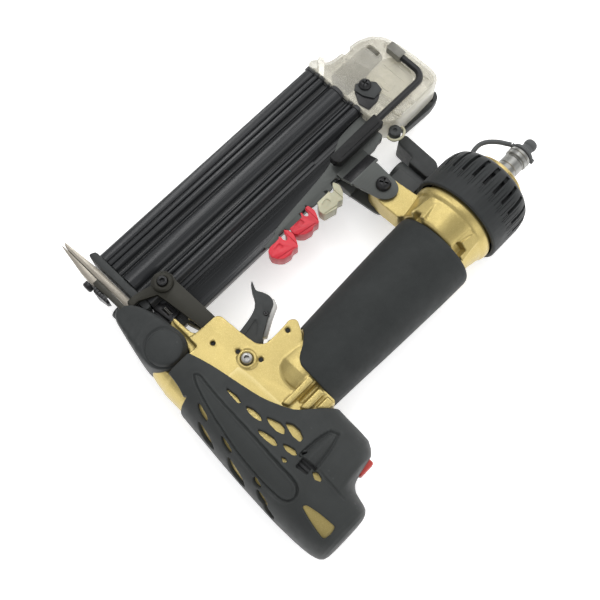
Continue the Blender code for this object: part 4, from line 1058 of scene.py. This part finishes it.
base = to_object("magazine_rail", prism(rounded([(14.0, -62.0), (182.0, -62.0), (182.0, -86.0), (14.0, -86.0)], 0.8, 2), -2.8, 2.8))
join(base, box(9.6, 182.0, -62.5, -28, -2.8, -0.1), box(14.4, 181.0, -71.2, -69.2, 2.0, 3.3), box(14.4, 140.0, -69.0, -66.4, 2.0, 4.4),
     box(14.2, 181.6, -85.6, -83.6, 2.0, 3.2))
cut(base, box(10, 190, -82.0, -81.3, 2.55, 6))
apply(base)
clean(base)
bevel(base, 0.2, 2, 40)
apply(base)
finish_piece(base, ANODISED, "body", ["magazine_base"], smooth=35)
upgrade("magazine_front_plate", BLACK_SATIN, 0.7, 3)

# steel plate on the rail, its upper edge a long sweep
SWEEP = spline([(89.5, -84.6), (93.2, -82.6), (105.2, -81.0), (114.0, -80.2), (125.6, -79.0), (137.3, -77.6), (146.0, -75.8), (151.5, -73.4), (157.5, -70.4), (163.0, -68.0), (170, -67.2), (182.2, -67.0)], 4)
piece("tip_plate", prism(SWEEP + [(182.2, -85.6), (171.6, -88.9), (150.2, -89.0), (147.6, -87.0), (143.0, -87.0), (141.6, -84.8), (137.0, -84.8), (135.4, -88.2), (129.0, -88.4), (122.6, -88.4), (118.6, -88.2), (116.4, -85.6),
                          (110.8, -85.6), (109.2, -88.4), (102.0, -88.4), (97.4, -88.2), (95.6, -86.0), (91.6, -86.0), (90.2, -88.2), (86.4, -88.4), (82, -88.0), (80.0, -85.4)][:22], 3.3, 5.0),
      PLATE, "body", ["tip_holder"], soft=0.25, seg=2, smooth=30)
piece("rear_bracket_pressed", prism(rounded([(143.2, -95.6), (148.0, -113.8), (150.4, -117.6), (154.4, -119.6), (158.4, -119.4), (161.6, -117.0), (163.0, -113.0), (164.2, -95.6)], 2.6, 3), 9.0, 10.6),
      PLATE, "body", ["rear_bracket"], soft=0.3, seg=2,
      joins=[prism([(-96.4, 9.0), (-96.4, 10.6), (-95.2, 10.6), (-88.4, 6.9), (-84.2, 6.9), (-84.2, 5.4), (-88.9, 5.4), (-95.4, 9.0)], 143.0, 166.0, "x")])
piece("bracket_flange", prism([(-95.4, 10.2), (-94.9, 10.75), (-88.6, 7.35), (-88.5, 6.6)], 143.6, 165.6, "x"), BLACK_STEEL, "body", soft=0.1)
upgrade("rear_bracket_far", PLATE, 0.35, 2)
piece("bracket_screw_head", turned([(0, -10.6), (2.2, -10.6), (2.2, 10.9), (4.6, 10.9), (4.7, 11.3), (4.5, 12.4), (3.7, 13.4), (2.4, 14.0), (0, 14.2)], "z", (156.2, -109.7), 40, closed=False),
      BLACK_STEEL, "body", ["bracket_screw"], smooth=30,
      cuts=[prism([(156.2 + c_ * math.cos(b_) - s_ * math.sin(b_), -109.7 + c_ * math.sin(b_) + s_ * math.cos(b_)) for c_, s_ in ((-2.8, -0.55), (2.8, -0.55), (2.8, 0.55), (-2.8, 0.55))], 12.3, 16)
            for b_ in (0.5, 0.5 + math.pi / 2)])
upgrade("bracket_nut", BLACK_STEEL, 0.4, 2)

# ============================================================ link and nose
upgrade("contact_arm", LINK, 0.35, 2)
upgrade("link_bolt", BLACK_STEEL, 0.3, 2)
upgrade("guide_plate", NOSE_STEEL, 0.2, 2, cuts=[box(-2.5, 1.25, -75, 8, -1.0, 1.0)])
upgrade("contact_nose", NOSE_STEEL, 0.2, 2)
upgrade("nose_bolt", BLACK_STEEL, 0.4, 2)
upgrade("nose_catch", BLACK_STEEL, 0.3, 2)
piece("nose_ribs", prism(rounded([(-8.3, -36.0), (-5.9, -33.2), (-5.5, -36), (-5.5, -45.8), (-7.6, -45.8)], 0.4, 2), 3.3, 8.2), BLACK_STEEL, "contact", soft=0.2,
      cuts=[box(-9, -2, y_, y_ + 0.9, 7.6, 9) for y_ in (-44.6, -42.6, -40.6, -38.6, -36.6)])
dial_ = to_object("adjuster_wheel", rod("y", (-3.5, -11.2), 5.5, -54.2, -47.2, 48, 0.6))
for k in range(20):
    a = 2 * math.pi * k / 20
    cut(dial_, rod("y", (-3.5 + 5.8 * math.cos(a), -11.2 + 5.8 * math.sin(a)), 0.55, -60, -40, 8))
apply(dial_)
finish_piece(dial_, BLACK_SATIN, "dial", ["adjuster_dial"], smooth=30)

# small parts in the gap between the nose cover and the link
GAP_Z = 3.0
piece("gap_carrier", prism(rounded([(9.2, -65.4), (15.4, -68.2), (17.6, -70.6), (17.4, -77.8), (13.2, -79.4), (10.9, -80.6)], 1.0, 2), -5.0, 5.0), BLACK_STEEL, "body", soft=0.4,
      cuts=[box(12.6, 15.6, -76.0, -71.0, 3.4, 9)])
piece("gap_block", prism(rounded([(16.8, -79.0), (21.4, -81.6), (23.2, -92.6), (20.0, -94.4), (17.6, -86.6)], 0.7, 2), -4.4, 3.6), BLACK_PLASTIC, "body", soft=0.35,
      cuts=[box(19.6, 22.2, -90.4, -87.0, 1.6, 9)])
piece("gap_pin", tube([(19.4, -85.0, 3.6), (22.6, -91.2, 3.6)], 0.95, 16), STEEL, "body", smooth=40)
coil = [(14.1 + 0.9 * math.cos(t * 0.9), -71.0 - 5.6 * t / 44, 4.4 + 0.9 * math.sin(t * 0.9)) for t in range(45)]
piece("gap_spring", tube(coil, 0.26, 8), STEEL, "body", smooth=60)
piece("gap_filler", prism([(9.2, -83.6), (7.6, -73), (6.9, -67.4), (10.6, -67.4), (11.4, -79.5), (10.3, -83.4)], -6.0, 2.3), BLACK_PLASTIC, "body", soft=0.2)
piece("gap_bar", prism([(9.4, -79.6), (11.0, -80.2), (18.2, -79.2), (18.6, -77.9), (11.4, -78.2)], 2.6, 5.2), BLACK_STEEL, "body", soft=0.25)

# ================================================================== trigger
TR = spline([(60.4, -95.4), (58.6, -96.4), (56.8, -98.6), (54.2, -103.4), (50.2, -107.8), (45.0, -109.9), (38.6, -111.2), (30, -112.6), (24.6, -114.8),
             (20.4, -118.6), (19.3, -122.6), (21.4, -126.4), (26, -127.2), (34, -124.5), (38.7, -125.2), (42.4, -122.6), (48, -119.4), (54, -116.2), (59.4, -113.8), (61.2, -109.4), (60.0, -104.8), (58.2, -101.2), (59.2, -98.2)], 3, closed=True)
trig = to_object("trigger_moulded", prism(TR, -5.2, 5.2))
cut(trig, prism([(37.5, -121.5), (41, -118.5), (46, -113.6), (56, -108.8), (66, -104.5), (70, -135), (37.5, -135)], -2.9, 2.9),
    rod("z", (23.6, -122.1), 1.55, -20, 20, 16), rod("z", (52.2, -115.1), 1.5, -20, 20, 16),
    prism(rounded([(27, -116.4), (40, -114.4), (46, -112.8), (44, -117), (38, -121), (28, -122)], 1.5, 2), 4.7, 9))
apply(trig)
clean(trig)
bevel(trig, 0.7, 3, 40)
apply(trig)
finish_piece(trig, BLACK_SATIN, "trigger", ["trigger"], smooth=40)
upgrade("trigger_lever", STEEL, 0.35, 2)
piece("lever_pin_rolled", turned([(0.55, -5.9), (1.1, -5.9), (1.25, -5.6), (1.25, 5.6), (1.1, 5.9), (0.55, 5.9)], "z", (52.2, -115.1), 24), BLACK_STEEL, "trigger", ["lever_pin"], smooth=35)

# ================================================================ spare tips
# each clip's outline round its own centre, from its hooked prong clockwise
TIP_A = [(9.3, 8.9), (10.1, 6.5), (10.7, 2.0), (9.2, -1.4), (7.0, -5.4), (3.4, -4.5), (0.7, -5.9), (-4.4, -4.7), (-7.0, -2.1), (-8.8, 1.2), (-7.6, 5.2), (-3.0, 6.9), (2.7, 7.4), (4.4, 6.4), (3.6, 4.1), (5.2, 1.9), (7.0, 3.5), (6.9, 6.2)]
TIP_B = [(11.0, 8.7), (12.4, 4.7), (10.9, 0.5), (7.1, -3.5), (3.7, -2.2), (0.5, -4.7), (-7.8, -2.5), (-8.3, 1.5), (-4.3, 7.4), (0.7, 8.7), (4.7, 8.2), (5.1, 4.2), (7.3, 4.2), (9.1, 7.3)]
for nm, bd, x, y0, shape, mt in (("spare_tip_1", "tip_1", 87.5, -94.2, TIP_A, RED), ("spare_tip_2", "tip_2", 107.0, -92.4, TIP_A, RED), ("spare_tip_3", "tip_3", 127.5, -94.2, TIP_B, CREAM)):
    t = to_object(nm + "_moulded", prism(rounded([(x + p_, y0 + q_) for p_, q_ in shape], 0.9, 2), -4.8, 5.0))
    cut(t, box(x - 12, x + 14, -88.9, -80, -5.2, 3.0), prism([(x - 12, -88.0), (x + 2.2, -88.0), (x + 2.2, -80), (x - 12, -80)], 2.9, 6),
        # stepped flank, window and teeth of the moulding
        prism([(x - 7.4, y0 - 1.6), (x + 5.4, y0 - 3.9), (x + 5.0, y0 - 4.4), (x - 7.4, y0 - 2.2)], 4.4, 9),
        prism(rounded([(x - 4.6, y0 + 3.4), (x + 0.6, y0 + 4.2), (x + 1.2, y0 + 0.8), (x - 4.0, y0 + 0.2)], 0.7, 2), 4.45, 9),
        box(x + 7.4, x + 7.9, y0 - 6, y0 + 8, 4.4, 9))
    apply(t)
    clean(t)
    bevel(t, 0.4, 2, 35)
    apply(t)
    finish_piece(t, mt, BODY_OF[nm], [nm], smooth=35)

# ================================================= clear cover of the magazine
CLEAR_OUT = rounded([(182.8, -23.5), (184.4, -20.4), (187.0, -19.8), (190.2, -21.6), (193.0, -28.2), (200.1, -29.6), (209.6, -29.9), (217.7, -30.6), (226.4, -34.6), (232.0, -42.0),
                     (233.8, -50.8), (235.0, -62), (235.4, -77.1), (234.3, -82.6), (230.4, -86.2), (213.8, -86.8), (196.5, -86.8), (190.0, -85.4), (185.6, -80), (182.8, -72)], 2.6, 4)
ccx, ccy = 210.0, -58.0


def shrink(points, by):
    out, n = [], len(points)
    for i in range(n):
        a, b, c = (Vector(points[(i + k) % n]) for k in (-1, 0, 1))
        d = (c - a).normalized()
        nrm = Vector((d.y, -d.x))
        if nrm.dot(b - Vector((ccx, ccy))) > 0:
            nrm = -nrm
        out.append(tuple(b + nrm * by))
    return out


def crown(points, zs):
    return loft([[(x, y_, z) for x, y_ in (shrink(points, inset) if inset else points)] for z, inset in zs])


clear = to_object("rear_cover_clear", crown(CLEAR_OUT, [(-12, 1.6), (-11.4, 0.6), (-10.2, 0), (8.4, 0), (9.7, 0.6), (10.2, 1.8)]))
INNER = shrink(CLEAR_OUT, 1.9)
cut(clear, prism([p for p in INNER], -10.2, 8.4), box(170, 184.4, -71, -31, -9, 8.0),
    # moulded windows and steps
    prism(rounded([(204.0, -25), (211.5, -25), (211.5, -33.2), (204.0, -33.2)], 1.0, 2), 3.5, 20),
    prism(rounded([(217.4, -38.2), (220.6, -38.2), (220.6, -47.6), (217.4, -47.6)], 0.8, 2), 8.0, 20))
join(clear, box(200.6, 201.8, -84.6, -53.0, 7.4, 9.0), prism(rounded([(226.6, -44.5), (229.4, -47), (229.6, -80), (227.0, -82)], 0.8, 2), 7.4, 11.6),
     rod("z", (187.2, -23.4), 2.6, -9.5, 9.4, 24, 0.8), rod("z", (198.6, -83.0), 3.4, 5.0, 11.9, 24, 0.8), rod("z", (208.6, -83.6), 2.6, 5.0, 11.6, 24, 0.8),
     prism(rounded([(196.0, -79.4), (211.0, -79.8), (211.4, -86.4), (196.0, -86.2)], 1.6, 2), 7.0, 10.9))
apply(clear)
finish_piece(clear, CLEAR, "magazine", ["rear_cover"], smooth=35)

# smoked drum of the pusher's roll spring, with the spring inside
drum = turned([(0, 191.0), (7.0, 191.0), (8.0, 191.8), (8.2, 193.0), (8.2, 214.0), (7.8, 219.6), (6.4, 223.6), (0, 224.2)], "x", (-41.2, -0.6), 40, closed=False)
piece("spring_drum", drum, SPRING_CASE, "magazine", smooth=40)
spiral = []
for k in range(110):
    t = k / 109
    a = 2 * math.pi * 5 * t
    r = 5.2 - 2.6 * t
    spiral.append((192.6 + r * math.cos(a), -42 + r * math.sin(a), 0))
rows_ = []
bm = bmesh.new()
prev = None
for x, y_, _ in spiral:
    cur = [bm.verts.new((x, y_, -2.3)), bm.verts.new((x, y_, 2.3))]
    d = Vector((x - 192.6, y_ + 42)).normalized() * 0.16
    cur += [bm.verts.new((x + d.x, y_ + d.y, 2.3)), bm.verts.new((x + d.x, y_ + d.y, -2.3))]
    if prev:
        for i in range(4):
            j = (i + 1) % 4
            bm.faces.new((prev[i], prev[j], cur[j], cur[i]))
    else:
        bm.faces.new(cur[::-1])
    prev = cur
bm.faces.new(prev)
bmesh.ops.recalc_face_normals(bm, faces=bm.faces)
piece("roll_spring_strip", bm, STEEL, "magazine", ["roll_spring"], smooth=50)

core = to_object("cover_core_clear", crown(rounded([(201.6, -52.4), (206, -50.6), (215, -50.0), (221, -50.4), (226.4, -53.6), (227.2, -58), (226.8, -68), (223.6, -73.4), (217, -74.6), (204.4, -75.2), (202.0, -72), (201.4, -60)], 2.0, 3),
                                             [(-6.5, 0.8), (-5.9, 0), (5.6, 0), (6.5, 0.9)]))
join(core, prism(rounded([(205, -55), (214, -54.6), (214.4, -68), (205.4, -69)], 1.5, 2), 5.0, 7.2))
cut(core, box(216.6, 218.0, -71, -53, 5.2, 9), prism(rounded([(219.4, -56), (223.6, -57.4), (223.4, -66), (219.4, -67)], 1.0, 2), 5.6, 9))
apply(core)
finish_piece(core, CLEAR_CORE, "magazine", ["cover_core"], smooth=35)

piece("cover_clip_pressed", prism(rounded([(189.3, -54.6), (193.0, -52.0), (199.2, -55.6), (203.0, -60.2), (201.6, -66.4), (193.8, -67.2), (190.4, -61.2)], 0.7, 3), 10.9, 12.3), BLACK_SATIN, "magazine", ["cover_clip"], soft=0.3)
piece("cover_clip_block", prism(rounded([(185.0, -62.6), (189.6, -54.6), (193.8, -53.4), (199.4, -66.8), (194.6, -69.4), (186.6, -69.6)], 0.8, 3), 8.9, 10.95), BLACK_STEEL, "magazine", soft=0.3)
# dark seal between the extrusion and the clear cover
SEAL = [(y_ + (0.6 if y_ > -24 else -0.6 if y_ < -64 else 0), z_ + (0.7 if z_ > 0 else -0.7)) for y_, z_ in outline]
piece("cover_seal", prism(SEAL, 181.9, 184.1, "x"), BLACK_PLASTIC, "magazine", cuts=[box(180, 186, -62, -28, -3.3, 3.3)])
piece("cover_screw_head", turned([(0, 12.4), (3.9, 12.4), (4.0, 12.8), (3.8, 13.6), (3.0, 14.4), (1.9, 14.9), (0, 15.0)], "z", (196.4, -56.8), 36, closed=False), BLACK_STEEL, "magazine", ["cover_screw"], smooth=30,
      cuts=[prism([(196.4 + c_ * math.cos(b_) - s_ * math.sin(b_), -56.8 + c_ * math.sin(b_) + s_ * math.cos(b_)) for c_, s_ in ((-2.3, -0.45), (2.3, -0.45), (2.3, 0.45), (-2.3, 0.45))], 13.3, 16)
            for b_ in (0.3, 0.3 + math.pi / 2)])
loop_ = spline([(184.9, -87.4, 2), (184.6, -89.4, 2), (186.0, -92.2, 2), (189.2, -93.9, 2), (192.6, -93.7, 2), (195.2, -91.8, 2), (195.8, -89.0, 2)], 6)
piece("cover_foot", rod("z", (190.2, -88.6), 3.9, -4.0, 4.6, 36, 0.6), BLACK_SATIN, "magazine", cuts=[rod("z", (190.2, -88.6), 1.4, 3.6, 9, 20)])
piece("cover_loop_bent", tube(loop_, 0.85, 14), CREAM, "magazine", ["cover_loop"], smooth=50)

latch = upgrade("latch_lever", BLACK_SATIN, 0.8, 3,
                cuts=[rod("z", (229.5, -85.6), 1.1, -30, 0, 20)])
paint("latch_pin", STEEL)

# ================================================================== hex key
route = [(145, -78.5, 12.7), (150, -78.5, 12.7), (170, -78.5, 12.7), (219.4, -78.5, 12.7)]
for k in range(1, 9):
    a = math.pi / 2 * k / 8
    route.append((219.4 + 6.9 * math.sin(a), -71.6 - 6.9 * math.cos(a), 12.7))
route += [(226.3, -62, 12.7), (226.3, -50.4, 12.7)]
hk = []
for i, p in enumerate(route):
    d = (Vector(route[min(i + 1, len(route) - 1)]) - Vector(route[max(i - 1, 0)])).normalized()
    side = Vector((-d.y, d.x, 0))
    rr = 4.0 / math.sqrt(3)
    if i in (0, len(route) - 1):
        rr *= 0.9
    hk.append([tuple(Vector(p) + side * rr * math.cos(math.pi * k / 3 + 0.0) + Vector((0, 0, rr * math.sin(math.pi * k / 3)))) for k in range(6)])
key = to_object("hex_key_bent", loft(hk))
bevel(key, 0.22, 2, 30)
apply(key)
finish_piece(key, BLACK_STEEL, "hex_key", ["hex_key"], smooth=28)
# clear sleeve that holds the key's short arm
piece("key_sleeve", prism(rounded([(223.4, -60.6), (229.2, -60.6), (229.2, -49.2), (223.4, -49.2)], 1.0, 2), 10.1, 15.7), SPRING_CASE, "magazine", soft=0.4,
      cuts=[rod("y", (226.3, 12.7), 2.5, -70, -40, 24), box(226.3, 231, -62, -48, 10.3, 15.1)])
# black channel that the long arm slides in
piece("key_channel", prism(rounded([(145.4, -76.0), (184.4, -75.4), (184.4, -83.2), (147.4, -83.2), (145.0, -80.0)], 0.8, 2), 9.0, 15.4), DEEP_BLACK, "magazine", soft=0.5,
      cuts=[rod("x", (-78.5, 12.7), 2.55, 140, 190, 24), box(150, 182, -81.9, -81.2, 14.9, 17)])

# ================================================================ belt hook
upgrade("belt_hook", BLACK_SATIN, 1.4, 4)
upgrade("hook_mount", BLACK_SATIN, 1.2, 3)
btn = upgrade("air_button", RED_BUTTON, 0.5, 2)
paint("nose_body", BLACK_STEEL)
paint("pusher", STEEL)

# ================================================================== lighting
bm = bmesh.new()
S = 3.0
bmesh.ops.create_grid(bm, x_segments=1, y_segments=1, size=S)
me = bpy.data.meshes.new("floor")
bm.to_mesh(me)
bm.free()
floor = bpy.data.objects.new("floor", me)
floor.location = (0, 0, CAD_LO.z - 0.0004)
bpy.context.scene.collection.objects.link(floor)
fm = bpy.data.materials.new("floor_white")
fm.use_nodes = True
fb = fm.node_tree.nodes["Principled BSDF"]
fb.inputs["Base Color"].default_value = (0.93, 0.93, 0.93, 1)
fb.inputs["Roughness"].default_value = 0.9
fb.inputs["Specular IOR Level"].default_value = 0.1
fb.inputs["Emission Color"].default_value = (1, 1, 1, 1)
fb.inputs["Emission Strength"].default_value = 0.5
me.materials.append(fm)

world = bpy.data.worlds.new("studio")
bpy.context.scene.world = world
world.use_nodes = True
world.node_tree.nodes["Background"].inputs["Color"].default_value = (1, 1, 1, 1)
world.node_tree.nodes["Background"].inputs["Strength"].default_value = 0.26


def area(name, at, to, size, power, glossy=True):
    d = bpy.data.lights.new(name, "AREA")
    d.shape = "RECTANGLE"
    d.size, d.size_y = size
    d.energy = power
    o = bpy.data.objects.new(name, d)
    o.location = at
    o.rotation_euler = (Vector(to) - Vector(at)).to_track_quat("-Z", "Y").to_euler()
    o.visible_glossy = glossy
    bpy.context.scene.collection.objects.link(o)
    return o


area("top_fill", (0, 0, 1.6), (0, 0, 0), (2.4, 2.4), 20, glossy=False)
# photo's left is -x -y, its top is -x +y in this frame
area("key_left", (-1.0, 0.55, 1.0), (0, 0, 0.02), (1.2, 1.2), 2.2)
area("side_right", (1.0, 0.1, 0.8), (0, 0, 0.02), (1.1, 1.1), 5)
area("lug_light", (0.56, 0.24, 1.25), (0.05, 0, 0.02), (0.5, 0.6), 1.2)
area("front_low", (0.1, -1.2, 0.65), (0, 0, 0.02), (1.4, 0.8), 4)
area("strip", (0.35, 1.05, 1.25), (0, 0, 0.02), (0.22, 2.2), 8)
